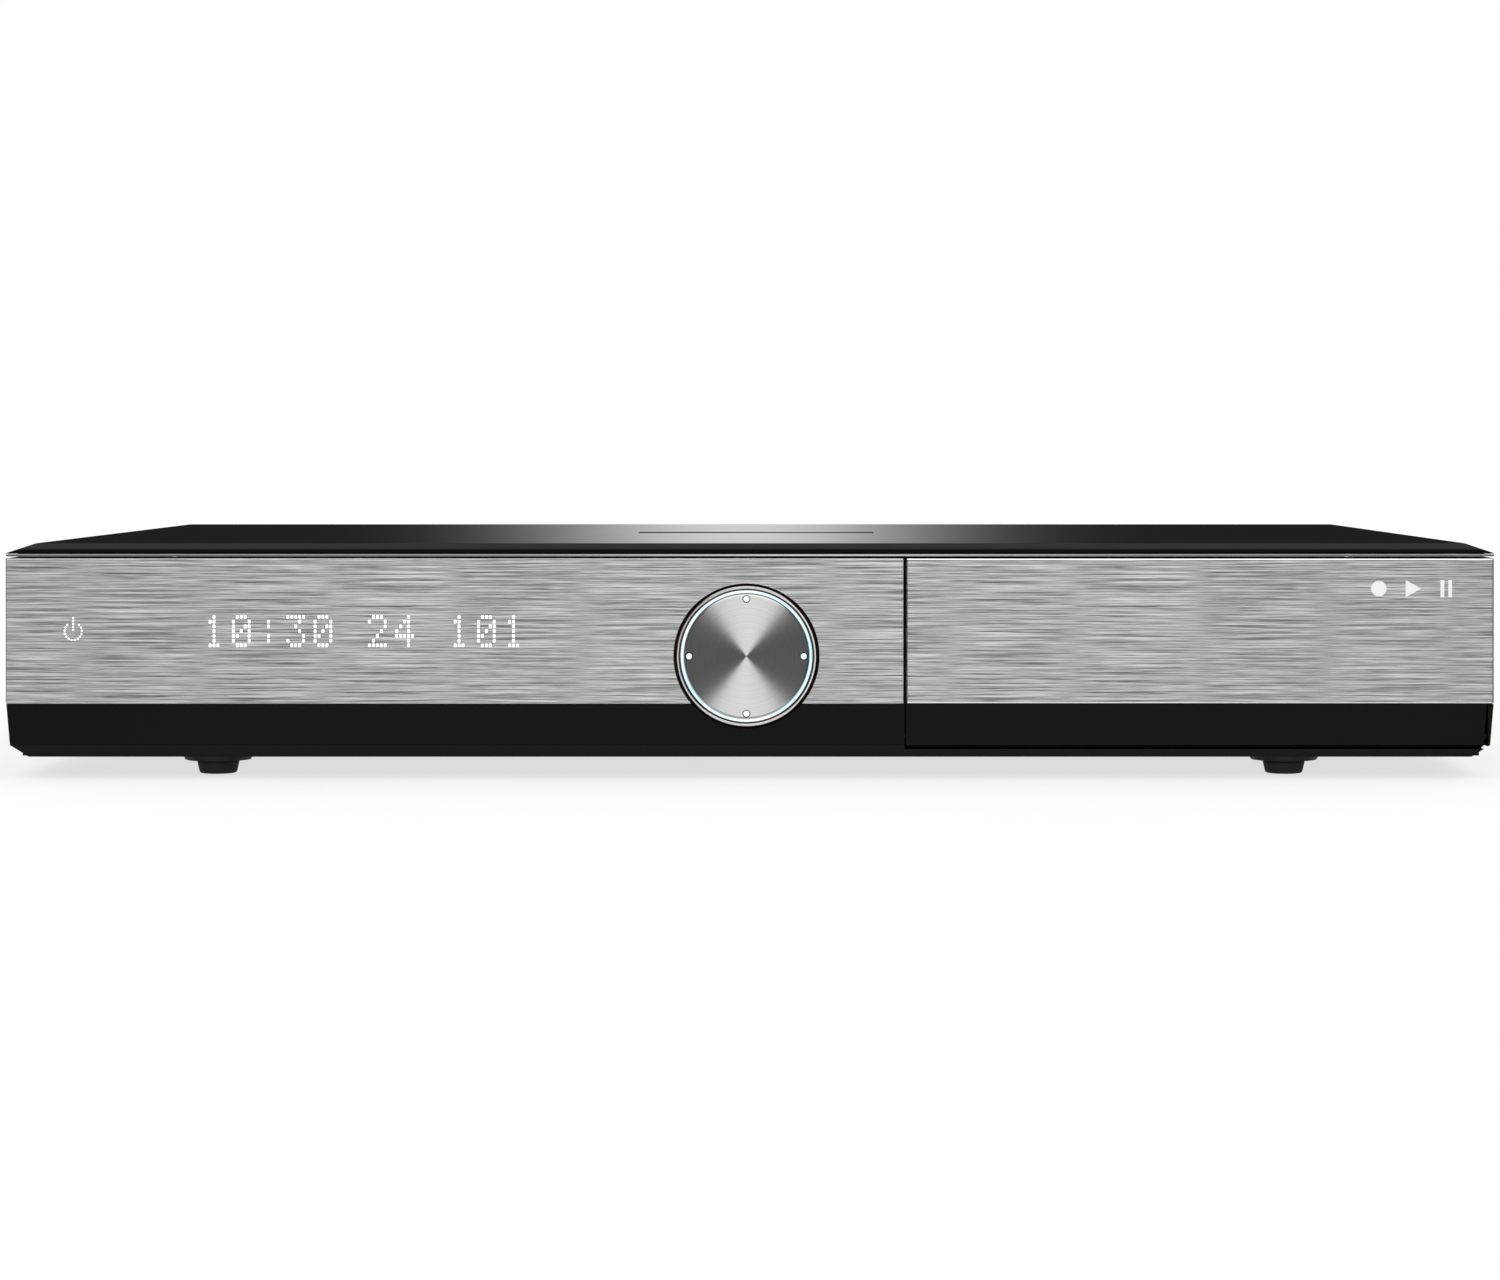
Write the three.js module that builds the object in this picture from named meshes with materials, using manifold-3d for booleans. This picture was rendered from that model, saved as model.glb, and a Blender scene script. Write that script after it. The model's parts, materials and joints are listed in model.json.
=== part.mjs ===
// Set-top digital video recorder, built as separate solids.
// Millimetres, +Z up. The front faces -Y; while it is drawn, y = 0 is the front
// face and y grows towards the rear. The last lines centre the whole on the origin.
import * as THREE from 'three';
import { mergeVertices } from 'three/addons/utils/BufferGeometryUtils.js';
import Module from 'manifold-3d';

const wasm = await Module();
wasm.setup();

// ---------------------------------------------------------------- driving dimensions
const WIDTH = 380;              // over the bezel and the cover
const HEIGHT = 60;              // floor to the top of the cover
const DEPTH = 248;              // front plates to the rear edge of the cover
const GAP = 0.3;                // clearance between neighbouring pieces
const SHEET = 0.9;              // folded steel of the cover, base and rear panel
const BOARD = 1.6;              // printed circuit boards

const CHAMFER_RUN = 6.6;        // mitred chamfer round the cover's top
const CHAMFER_RISE = 2.45;
const COVER_LOW = 8;            // lower edge of the cover's sides
const COVER_FLANGE = 10;        // the cover's turned-down rear edge
const TOP_RECESS = { width: 68, breadth: 14, rear: 137, deep: 0.35 };   // shallow pressed panel
const SIDE_VENT = { count: 15, pitch: 8, breadth: 3, low: 26, high: 42, first: 66 };

const BASE_LOW = 4.7;           // underside of the base
const BASE_SIDE = 15;           // height of the base's side flanges
const BASE_FRONT = 7;           // height of its front flange
const FOOT = { radius: 5.5, tread: 4.75, height: 3.24, stem: 3, side: 51.4, front: 20, rear: 24 };
const BOSS = { radius: 9.3, taper: 0.8 };
const STANDOFF = { radius: 3, edge: 5 };
const BASE_VENT = { count: 9, pitch: 9, breadth: 3.2, length: 40, from: 24, apart: 52 };

const BEZEL_DEPTH = 16;
const BEZEL_WALL = 1.6;
const BEZEL_FACE = 2;           // front wall behind the plates
const BEZEL_LOW = 5.4;          // bottom edge of the bezel
const BAND_TOP = 19.1;          // top of the black band
const BAND_FRONT = 0.3;         // how far the band stands back from the plates
const BAND_TAPER = 0.9;
const LIP = { run: 4, rise: 3.3 };   // chamfer under the band and at its ends
const PLATE = 1.2;              // thickness of the brushed plates
const PLATE_END = 0.35;         // black edge left showing at the ends
const PLATE_DROP = 3.7;         // cover top to the plates' top edge
const TRIM = { thick: 0.6, below: 0.15, depth: 4.5 };

const DOOR_WIDTH = 150.2;
const DOOR_GAP = 0.6;
const DOOR_THICK = 3;
const DOOR_LOW = 8.7;
const DOOR_INSET = 2.1;         // how much shorter the door's band is at the outer end
const DOOR_RELIEF = { depth: 1.2, left: 8, right: 12, above: 2, below: 4 };
const HINGE = {
  back: 2.2, up: 2.2, pin: 0.8, play: 0.2, skin: 0.6, inDoor: 6.3, inWall: 9, endWall: 1.6,
};
const SWING_ROOM = { band: 1.8, plate: 1.2 };   // free depth behind the flap
const POCKET = { left: 12, right: 10, low: 16, below: 12.3, back: 20.4 };
const LATCH = {
  width: 12, height: 6, length: 17, plunger: 4, reach: 1, travel: 2, spring: 3, claw: 1.6,
  striker: 9, strikerDeep: 1.3,
};
const CARD = { width: 60, height: 9, length: 37, slot: 54.6, slotHigh: 1.6, left: 10, low: 19 };
const USB = { width: 13.2, height: 5.8, length: 14, wall: 0.4, shift: -0.5, low: 19 };
const POCKET_BOARD = { low: 17, right: 6, back: 2 };

const DIAL = {
  toDoor: 40.7, drop: 1.1, disc: 15.8, thick: 2.2, bevel: 0.35, post: 3.2, pivot: 4.6,
  tiltRoom: 0.25, lightWall: 0.75, seam: 0.35, ringWall: 0.75, shadow: 0.6,
  proud: 0.9, ringProud: 0.6, lightProud: 0.3, flange: 1, flangeThick: 1.4,
  marker: 0.75, markerIn: 1.2,
};
const GIMBAL = { inner: 4.4, outer: 6.4, thick: 2, pin: 0.8, reach: 8.6, bore: 1.1 };
const SWITCH = {
  inwards: 3.4, outwards: 0.4, pad: 1.3, size: 6, body: 3.5, plunger: 1.75, clearance: 0.4, stub: 0.5,
};
const FRONT_BOARD = { front: 9, end: 10, low: 13, below: 4 };
const DISPLAY = { width: 86, height: 14, shift: 6.3, thick: 4, up: 6.4 };

const PSU = { width: 84, front: 70, side: 8 };
const TRANSFORMER = { right: 50, back: 62, width: 33, length: 28, high: 28, leg: 6, bobbin: 8 };
const CAPACITOR = { right: 22, back: 48, radius: 11, high: 30, groove: 0.8 };
const HARNESS = { back: 20, radius: 2.2 };
const HEATSINK = { right: 62, back: 70, size: 40, high: 18, base: 4, fins: 9 };
const BOARD_LOW = 12;
const MAIN = { gap: 6, front: 62, end: 10, margin: 3, toDrive: 5.9 };
const SATA = { width: 9, thick: 1.2 };
const PORT_GAP = 2.5;
const PORT_PROUD = 0.8;         // how far a socket stands out of the rear panel
const TUNER = { width: 32, height: 22, length: 42, barrel: 4.7, proud: 9, pitch: 16, up: 11 };
const RCA = { width: 24, height: 30, length: 12, barrel: 4.2, proud: 8, pitch: 12, pin: 1.7 };
const OPTICAL = { width: 10, height: 10, length: 14, mouth: 5.2 };
const SCART = { width: 47, height: 14, length: 17, wall: 1.5, mouth: 9 };
const HDMI = { width: 15, height: 6.2, length: 12, wall: 0.5 };
const LAN = {
  width: 16, height: 27, length: 21, jackWidth: 11.8, jackHeight: 8, jackUp: 1.6, usbUp: 3, mouth: 12,
};

const DRIVE = { width: 101.6, length: 147, height: 26.1, wall: 1.6, floor: 3.5, lid: 1 };
const DRIVE_PLACE = { side: 12, behindCard: 6.7, low: 15.6 };
const PLATTER = {
  radius: 47.5, thick: 1.8, room: 1.3, hub: 13, hubHigh: 12, motor: 3, at: [4, 8.5], fromFront: 51,
};
const ARM = {
  back: 57, side: 30, pivot: 8, post: 1.5, thick: 2, over: 0.6, length: 51, width: 6, tip: 3,
};
const FAN = { size: 40, thick: 10, wall: 1.2, hub: 9.5, blades: 7, side: 15.5, low: 8.5 };
const INLET = { width: 22, height: 13, length: 16, lobe: 4, pitch: 8.6, mouth: 12, from: 20 };
const ROCKER = { width: 13, height: 19, length: 15, frame: 1.2, tilt: 7, from: 48 };
const SCREW = { head: 3, headHigh: 1.8, shank: 1.4, length: 8, hole: 1.8, drop: 5.6 };

// ---------------------------------------------------------------- places worked out
const half = WIDTH / 2;
const doorLeft = half - DOOR_WIDTH;
const fasciaRight = doorLeft - DOOR_GAP;
const plateTop = HEIGHT - PLATE_DROP;
const coverEdge = HEIGHT - CHAMFER_RISE;
const dialX = doorLeft - DIAL.toDoor;
const dialZ = (DOOR_LOW + plateTop) / 2 - DIAL.drop;
const faceFront = PLATE + GAP;
const faceBack = faceFront + BEZEL_FACE;
const lightIn = DIAL.disc + DIAL.tiltRoom;
const lightOut = lightIn + DIAL.lightWall;
const ringIn = lightOut + DIAL.seam;
const ringOut = ringIn + DIAL.ringWall;
const dialHole = ringOut + DIAL.shadow;
const markerAt = DIAL.disc - DIAL.markerIn;
const switchAt = DIAL.disc - SWITCH.inwards;
const hingeBore = HINGE.pin + HINGE.play;
const doorFoot = HINGE.back + hingeBore + HINGE.skin;   // the flap's band, round the hinge pins
const recess = { band: doorFoot + SWING_ROOM.band, plate: DOOR_THICK + SWING_ROOM.plate };
const doorWall = recess.band + BEZEL_WALL;
const hingeY = HINGE.back;
const hingeZ = DOOR_LOW + HINGE.up;
const doorBandEnd = half - DOOR_INSET;
const hingeRanges = {
  left: [fasciaRight - HINGE.inWall, doorLeft + HINGE.inDoor],
  right: [doorBandEnd - HINGE.inDoor, half - HINGE.endWall],
};
const baseTop = BASE_LOW + SHEET;
const baseHalf = half - SHEET - GAP;
const panelOuter = DEPTH - SHEET - GAP;
const panelInner = panelOuter - SHEET;
const boardTop = BOARD_LOW + BOARD;
const onBoard = boardTop + GAP;
const portFace = panelOuter + PORT_PROUD;
const boardRear = panelInner - MAIN.end;
const psuLeft = -half + PSU.side;
const psuRight = psuLeft + PSU.width;
const mainLeft = psuRight + MAIN.gap;
const driveRight = half - DRIVE_PLACE.side;
const driveLeft = driveRight - DRIVE.width;
const driveX = (driveLeft + driveRight) / 2;
const pocketWall = POCKET.back + BEZEL_WALL + GAP;
const driveFront = pocketWall + CARD.length + DRIVE_PLACE.behindCard;
const driveRear = driveFront + DRIVE.length;
const driveTop = DRIVE_PLACE.low + DRIVE.height;

const portWidths = {
  tuner: TUNER.width, rca: RCA.width, optical: OPTICAL.width,
  scart: SCART.width, hdmi: HDMI.width, lan: LAN.width,
};
const portLeft = {};
let nextPort = mainLeft + MAIN.margin;
for (const [port, width] of Object.entries(portWidths)) {
  portLeft[port] = nextPort;
  nextPort += width + PORT_GAP;
}
const mainRight = driveLeft - MAIN.toDrive;

const spanOf = (centre, size) => [centre - size / 2, centre + size / 2];
const grown = ([from, to], by) => [from - by, to + by];
const BEYOND = 5;               // how far a cut runs past what it cuts
const DIAL_SIDES = 72;

// ---------------------------------------------------------------- solids
const AXIS_X = new THREE.Vector3(1, 0, 0);
const AXIS_Y = new THREE.Vector3(0, 1, 0);
const AXIS_Z = new THREE.Vector3(0, 0, 1);

function solidOf(geometry) {
  geometry.deleteAttribute('normal');
  geometry.deleteAttribute('uv');
  const merged = mergeVertices(geometry);
  return new wasm.Manifold(new wasm.Mesh({
    numProp: 3,
    vertProperties: new Float32Array(merged.attributes.position.array),
    triVerts: new Uint32Array(merged.index.array),
  }));
}

function box([x0, x1], [y0, y1], [z0, z1]) {
  const geometry = new THREE.BoxGeometry(x1 - x0, y1 - y0, z1 - z0);
  return solidOf(geometry.translate((x0 + x1) / 2, (y0 + y1) / 2, (z0 + z1) / 2));
}

// A round bar along an axis; place gives the two other coordinates in x, y, z order.
function rod(axis, radius, [from, to], [u, v], { tip = radius, sides = 24 } = {}) {
  const geometry = new THREE.CylinderGeometry(tip, radius, to - from, sides);
  const middle = (from + to) / 2;
  if (axis === 'x') return solidOf(geometry.rotateZ(-Math.PI / 2).translate(middle, u, v));
  if (axis === 'y') return solidOf(geometry.translate(u, middle, v));
  return solidOf(geometry.rotateX(Math.PI / 2).translate(u, v, middle));
}

function extruded(axis, shape, [from, to]) {
  const geometry = new THREE.ExtrudeGeometry(shape, {
    depth: to - from, bevelEnabled: false, curveSegments: 5,
  });
  const place = new THREE.Matrix4();
  if (axis === 'x') place.makeBasis(AXIS_Y, AXIS_Z, AXIS_X).setPosition(from, 0, 0);
  if (axis === 'y') place.makeBasis(AXIS_X, AXIS_Z, AXIS_Y.clone().negate()).setPosition(0, to, 0);
  if (axis === 'z') place.setPosition(0, 0, from);
  return solidOf(geometry.applyMatrix4(place));
}

const prism = (axis, points, range) => extruded(
  axis, new THREE.Shape(points.map(([u, v]) => new THREE.Vector2(u, v))), range);

function roundedBlock(axis, [u0, u1], [v0, v1], radius, range) {
  const shape = new THREE.Shape();
  shape.absarc(u1 - radius, v1 - radius, radius, 0, Math.PI / 2);
  shape.absarc(u0 + radius, v1 - radius, radius, Math.PI / 2, Math.PI);
  shape.absarc(u0 + radius, v0 + radius, radius, Math.PI, Math.PI * 1.5);
  shape.absarc(u1 - radius, v0 + radius, radius, Math.PI * 1.5, Math.PI * 2);
  return extruded(axis, shape, range);
}

const join = (first, ...others) => others.reduce((sum, next) => sum.add(next), first);
const cut = (solid, ...tools) => solid.subtract(join(...tools));

function ring(axis, inner, outer, range, place, sides = 48) {
  const bore = rod(axis, inner, grown(range, 1), place, { sides });
  return cut(rod(axis, outer, range, place, { sides }), bore);
}

function tube(points, radius, sides = 8) {
  const curve = new THREE.CatmullRomCurve3(points.map((point) => new THREE.Vector3(...point)));
  const section = new THREE.Shape();
  section.absarc(0, 0, radius, 0, Math.PI * 2);
  return solidOf(new THREE.ExtrudeGeometry(section, {
    steps: points.length * 6, extrudePath: curve, curveSegments: sides / 2,
  }));
}

// A strip of even thickness along a path in the y-z plane, as wide as the x range.
function strap(path, thick, range) {
  const sides = [-1, 1].map((side) => path.map(([y, z], index) => {
    const before = path[Math.max(index - 1, 0)];
    const after = path[Math.min(index + 1, path.length - 1)];
    const length = Math.hypot(after[0] - before[0], after[1] - before[1]);
    const across = [-(after[1] - before[1]) / length, (after[0] - before[0]) / length];
    return [y + side * across[0] * thick / 2, z + side * across[1] * thick / 2];
  }));
  return prism('x', [...sides[0], ...sides[1].reverse()], range);
}

// ---------------------------------------------------------------- case
function inset(points, by) {
  const count = points.length;
  const edges = points.map((point, index) => {
    const next = points[(index + 1) % count];
    const length = Math.hypot(next[0] - point[0], next[1] - point[1]);
    const normal = [(next[1] - point[1]) / length, -(next[0] - point[0]) / length];
    return { normal, reach: normal[0] * point[0] + normal[1] * point[1] - by };
  });
  return edges.map((edge, index) => {
    const last = edges[(index + count - 1) % count];
    const turn = last.normal[0] * edge.normal[1] - last.normal[1] * edge.normal[0];
    return [
      (last.reach * edge.normal[1] - edge.reach * last.normal[1]) / turn,
      (edge.reach * last.normal[0] - last.reach * edge.normal[0]) / turn,
    ];
  });
}

// Outlines run anticlockwise: across the case (x, z), and along it (y, z).
function coverOutlines() {
  const shoulder = half - CHAMFER_RUN;
  const front = GAP / 2;
  return {
    across: [
      [-half, COVER_LOW], [half, COVER_LOW], [half, coverEdge],
      [shoulder, HEIGHT], [-shoulder, HEIGHT], [-half, coverEdge],
    ],
    along: [
      [front, COVER_LOW], [DEPTH, COVER_LOW], [DEPTH, HEIGHT],
      [front + CHAMFER_RUN, HEIGHT], [front, coverEdge],
    ],
  };
}

function topCover() {
  const { across, along } = coverOutlines();
  const outer = prism('y', across, [0, DEPTH]).intersect(prism('x', along, [-half, half]));
  const hollow = prism('y', inset(across, SHEET), [0, DEPTH])
    .intersect(prism('x', inset(along, SHEET), [-half, half]));
  const inside = [-half + SHEET, half - SHEET];
  const openings = [
    box(inside, [-BEYOND, DEPTH - SHEET], [COVER_LOW - BEYOND, COVER_LOW + SHEET * 2]),
    box([-half - BEYOND, half + BEYOND], [-BEYOND, BEZEL_DEPTH + GAP], [-BEYOND, coverEdge]),
    box(inside, [DEPTH - BEYOND, DEPTH + BEYOND], [COVER_LOW - BEYOND, HEIGHT - COVER_FLANGE]),
    box(spanOf(0, TOP_RECESS.width), [TOP_RECESS.rear - TOP_RECESS.breadth, TOP_RECESS.rear],
      [HEIGHT - TOP_RECESS.deep, HEIGHT + BEYOND]),
  ];
  for (let index = 0; index < SIDE_VENT.count; index += 1) {
    const at = SIDE_VENT.first + index * SIDE_VENT.pitch;
    openings.push(box([-half - BEYOND, half + BEYOND], spanOf(at, SIDE_VENT.breadth),
      [SIDE_VENT.low, SIDE_VENT.high]));
  }
  for (const x of screwPlaces()) {
    openings.push(rod('y', SCREW.hole, [DEPTH - BEYOND, DEPTH + BEYOND],
      [x, HEIGHT - SCREW.drop]));
  }
  return cut(outer, hollow, ...openings, ...portWindows([DEPTH - BEYOND, DEPTH + BEYOND]));
}

function screwPlaces() {
  const outer = half - CHAMFER_RUN - SCREW.head * 2;
  return [-outer, -outer / 3, outer / 3, outer];
}

function coverScrew(x) {
  const place = [x, HEIGHT - SCREW.drop];
  const seat = DEPTH + GAP;
  const slotWide = 1;
  const head = rod('y', SCREW.head, [seat, seat + SCREW.headHigh], place,
    { tip: SCREW.head * 0.8, sides: 20 });
  const shank = rod('y', SCREW.shank, [seat - SCREW.length, seat + 0.5], place, { sides: 12 });
  const recess = [seat + SCREW.headHigh * 0.4, seat + SCREW.headHigh + 1];
  const cross = join(
    box(spanOf(x, SCREW.head), recess, spanOf(place[1], slotWide)),
    box(spanOf(x, slotWide), recess, spanOf(place[1], SCREW.head)),
  );
  return cut(join(head, shank), cross);
}

function footPlaces() {
  const x = half - FOOT.side;
  return {
    front_left: [-x, FOOT.front], front_right: [x, FOOT.front],
    rear_left: [-x, DEPTH - FOOT.rear], rear_right: [x, DEPTH - FOOT.rear],
  };
}

function foot(place) {
  const pad = rod('z', FOOT.tread, [0, FOOT.height], place, { tip: FOOT.radius, sides: 40 });
  return pad.add(rod('z', FOOT.stem, [FOOT.height - 0.5, baseTop + 1.5], place));
}

function standoffPlaces() {
  const { edge } = STANDOFF;
  const rows = [PSU.front + edge, boardRear - edge];
  const columns = [psuLeft + edge, psuRight - edge, mainLeft + edge, mainRight - edge];
  return columns.flatMap((x) => rows.map((y) => [x, y]));
}

function baseChassis() {
  const front = BEZEL_DEPTH + GAP;
  const floor = box([-baseHalf, baseHalf], [front, panelOuter], [BASE_LOW, baseTop]);
  const flangeRear = panelInner - GAP;
  const sides = [-1, 1].map((side) => {
    const edge = side * baseHalf;
    return box([Math.min(edge, edge - side * SHEET), Math.max(edge, edge - side * SHEET)],
      [front, flangeRear], [BASE_LOW, BASE_LOW + BASE_SIDE]);
  });
  const lip = box([-baseHalf, baseHalf], [front, front + SHEET], [BASE_LOW, BASE_LOW + BASE_FRONT]);
  const bosses = Object.values(footPlaces()).map((place) => rod(
    'z', BOSS.radius - BOSS.taper, [FOOT.height + GAP, BEZEL_LOW - GAP], place,
    { tip: BOSS.radius, sides: 28 }));
  const posts = standoffPlaces().map((place) => rod(
    'z', STANDOFF.radius, [BASE_LOW, BOARD_LOW - GAP], place, { sides: 12 }));
  const stems = Object.values(footPlaces()).map((place) => rod(
    'z', FOOT.stem + GAP, [0, HEIGHT], place));
  const vents = [];
  for (let index = 0; index < BASE_VENT.count; index += 1) {
    const turn = index - (BASE_VENT.count - 1) / 2;
    const across = spanOf(driveX + turn * BASE_VENT.pitch, BASE_VENT.breadth);
    for (const back of [BASE_VENT.from, BASE_VENT.from + BASE_VENT.apart]) {
      const from = driveFront + back;
      vents.push(box(across, [from, from + BASE_VENT.length], [0, HEIGHT / 2]));
    }
  }
  return cut(join(floor, ...sides, lip, ...bosses, ...posts), ...stems, ...vents);
}

// ---------------------------------------------------------------- front bezel
function bezelOutlines() {
  const bandEnd = half - BEZEL_WALL / 4;
  const lowEnd = bandEnd - BAND_TAPER;
  const face = LIP.rise + BEZEL_LOW;
  return {
    across: [
      [-lowEnd + LIP.run, BEZEL_LOW], [lowEnd - LIP.run, BEZEL_LOW], [lowEnd, face],
      [bandEnd, BAND_TOP], [half, BAND_TOP + 0.5], [half, plateTop],
      [-half, plateTop], [-half, BAND_TOP + 0.5], [-bandEnd, BAND_TOP], [-lowEnd, face],
    ],
    along: [
      [BAND_FRONT + LIP.run, BEZEL_LOW], [BEZEL_DEPTH, BEZEL_LOW], [BEZEL_DEPTH, plateTop],
      [BAND_FRONT, plateTop], [BAND_FRONT, face],
    ],
  };
}

function pocketSpan() {
  return {
    x: [doorLeft + POCKET.left, half - POCKET.right],
    z: [POCKET.low, plateTop - POCKET.below],
  };
}

function frontBezel() {
  const { across, along } = bezelOutlines();
  const block = prism('y', across, [0, BEZEL_DEPTH]).intersect(prism('x', along, [-half, half]));
  const wide = [-half - BEYOND, half + BEYOND];
  const recessTop = HEIGHT + BEYOND;
  const innerTop = plateTop - BEZEL_WALL;
  const inside = [-half + BEZEL_WALL * 1.5, half - BEZEL_WALL * 1.5];
  const floor = BEZEL_LOW + BEZEL_WALL + 0.4;
  const doorInside = [fasciaRight - 2 * BEZEL_WALL, inside[1]];
  const sliver = doorBandEnd + GAP;
  const hollow = join(
    box([inside[0], doorInside[0]], [faceBack, DEPTH], [floor, innerTop]),
    box([doorInside[0] - 1, inside[1]], [doorWall, DEPTH], [floor, innerTop]),
  );
  const shell = cut(block, hollow,
    box([wide[0], fasciaRight + GAP], [-BEYOND, faceFront], [BAND_TOP, recessTop]),
    box([fasciaRight + GAP / 2, wide[1]], [-BEYOND, recess.plate], [BAND_TOP, recessTop]),
    box([fasciaRight + GAP / 2, sliver], [-BEYOND, recess.band], [DOOR_LOW - 1.1, BAND_TOP + GAP]),
    rod('y', dialHole, [-BEYOND, faceFront], [dialX, dialZ], { sides: DIAL_SIDES }),
    rod('y', lightOut + GAP, [-BEYOND, faceBack + 1], [dialX, dialZ], { sides: DIAL_SIDES }));
  const pocket = pocketSpan();
  const tub = box(grown(pocket.x, BEZEL_WALL), [recess.band, POCKET.back + BEZEL_WALL],
    grown(pocket.z, BEZEL_WALL));
  const display = displaySpan();
  return cut(join(shell, tub),
    box(pocket.x, [-BEYOND, POCKET.back], pocket.z),
    box(grown(cardSlot().x, GAP), [POCKET.back - 1, POCKET.back + BEYOND], grown(cardSlot().z, GAP)),
    box(grown(usbSpan().x, GAP), [POCKET.back - 1, POCKET.back + BEYOND], grown(usbSpan().z, GAP)),
    box(grown(spanOf(latchX(), LATCH.plunger), GAP), [-BEYOND, doorWall + 1],
      grown(latchSpan().plunger, GAP)),
    box(display.x, [-BEYOND, faceBack + 1], display.z),
    ...hingeBores());
}

const hingeBores = () => Object.values(hingeRanges).map(
  (range) => rod('x', hingeBore, range, [hingeY, hingeZ]));

const bezelTrim = () => box([-half + GAP, half - GAP], [TRIM.below, TRIM.depth],
  [coverEdge - TRIM.below - TRIM.thick, coverEdge - TRIM.below]);

function fasciaPlate() {
  const plate = roundedBlock('y', [-half + PLATE_END, fasciaRight], [BAND_TOP + GAP / 2, plateTop],
    0.4, [0, PLATE]);
  return cut(plate, rod('y', dialHole, [-BEYOND, BEYOND], [dialX, dialZ], { sides: DIAL_SIDES }));
}

// ---------------------------------------------------------------- flap
function flapDoor() {
  const back = DOOR_THICK;
  const behindPlate = [PLATE + 0.05, back];
  const upper = box([doorLeft, half - PLATE_END], behindPlate, [BAND_TOP + GAP, plateTop - 0.2]);
  const neck = box([doorLeft, doorBandEnd - 1], behindPlate, [BAND_TOP - 1, BAND_TOP + 1]);
  const lower = prism('y', [
    [doorLeft, DOOR_LOW], [doorBandEnd - BAND_TAPER, DOOR_LOW], [doorBandEnd, BAND_TOP],
    [doorLeft, BAND_TOP],
  ], [BAND_FRONT, doorFoot]);
  const relief = box([doorLeft + DOOR_RELIEF.left, half - DOOR_RELIEF.right],
    [back - DOOR_RELIEF.depth, back + 1], [BAND_TOP + DOOR_RELIEF.above, plateTop - DOOR_RELIEF.below]);
  const striker = box(spanOf(latchX(), LATCH.striker), [back - LATCH.strikerDeep, back],
    grown(latchSpan().plunger, 2));
  return cut(join(cut(join(upper, neck, lower), relief), striker), ...hingeBores());
}

const flapPlate = () => roundedBlock('y', [doorLeft, half - PLATE_END],
  [BAND_TOP + GAP / 2, plateTop], 0.4, [0, PLATE - 0.25]);

const hingePin = (range) => rod('x', HINGE.pin, grown(range, -GAP), [hingeY, hingeZ], { sides: 16 });

const latchX = () => (doorLeft + half) / 2;

function latchSpan() {
  const low = pocketSpan().z[1] + BEZEL_WALL + GAP;
  return { z: [low, low + LATCH.height], plunger: spanOf(low + LATCH.height / 2, LATCH.plunger) };
}

function flapLatch() {
  const front = doorWall + GAP;
  const { z, plunger } = latchSpan();
  const body = box(spanOf(latchX(), LATCH.width), [front, front + LATCH.length], z);
  return cut(body, box(grown(spanOf(latchX(), LATCH.plunger), GAP),
    [front - 1, front + LATCH.length - 2], grown(plunger, GAP)));
}

function flapPlunger() {
  const front = DOOR_THICK + LATCH.reach;
  const end = doorWall + LATCH.length - LATCH.travel - LATCH.spring;
  const stem = roundedBlock('y', spanOf(latchX(), LATCH.plunger), latchSpan().plunger, 0.6,
    [front, end]);
  const claw = box(spanOf(latchX(), LATCH.claw), [front - 1, front + 1.5],
    grown(latchSpan().plunger, 1));
  return cut(stem, claw);
}

function cardSlot() {
  const middle = pocketSpan().x[0] + CARD.left + CARD.width / 2;
  return { x: spanOf(middle, CARD.slot), z: spanOf(CARD.low + CARD.height / 2, CARD.slotHigh) };
}

function cardReader() {
  const slot = cardSlot();
  const middle = (slot.x[0] + slot.x[1]) / 2;
  const front = pocketWall;
  const body = box(spanOf(middle, CARD.width), [front, front + CARD.length],
    [CARD.low, CARD.low + CARD.height]);
  const key = box(spanOf(middle, CARD.width * 0.55), [front + 8, front + CARD.length - 4],
    [CARD.low + CARD.height - 2, CARD.low + CARD.height + 1]);
  return cut(body, key, box(slot.x, [front - 1, front + CARD.length - 3], slot.z));
}

function usbSpan() {
  const { x } = pocketSpan();
  const middle = (x[0] + CARD.left + CARD.width + x[1]) / 2 + USB.shift;
  return { x: spanOf(middle, USB.width), z: [USB.low, USB.low + USB.height] };
}

function usbSocket() {
  const { x, z } = usbSpan();
  const front = POCKET.back + 0.4;
  const shell = box(x, [front, front + USB.length], z);
  const mouth = box(grown(x, -USB.wall), [front - 1, front + USB.length - 1.5], grown(z, -USB.wall));
  const tongue = box(grown(x, -1.2), [front + 1.2, front + USB.length],
    [z[1] - USB.wall - 2.2, z[1] - USB.wall - 0.6]);
  return join(cut(shell, mouth), tongue);
}

function pocketBoard() {
  return box([pocketSpan().x[0], usbSpan().x[1] + POCKET_BOARD.right],
    [pocketWall, pocketWall + CARD.length + POCKET_BOARD.back],
    [POCKET_BOARD.low, POCKET_BOARD.low + BOARD]);
}

// ---------------------------------------------------------------- navigation dial
const dialCentre = [dialX, dialZ];
const discFront = -DIAL.proud;
const discBack = discFront + DIAL.thick;
const compass = { up: [0, 1], right: [1, 0], down: [0, -1], left: [-1, 0] };
const dialPoint = ([u, v], radius) => [dialX + u * radius, dialZ + v * radius];

const navRing = () => ring('y', ringIn, ringOut, [-DIAL.ringProud, faceFront - GAP], dialCentre,
  DIAL_SIDES);

function lightRing() {
  const seat = faceBack + GAP;
  const end = seat + DIAL.flangeThick;
  const barrel = ring('y', lightIn, lightOut, [-DIAL.lightProud, end], dialCentre, DIAL_SIDES);
  const flange = ring('y', lightIn, lightOut + DIAL.flange, [seat, end], dialCentre, DIAL_SIDES);
  return barrel.add(flange);
}

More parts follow.
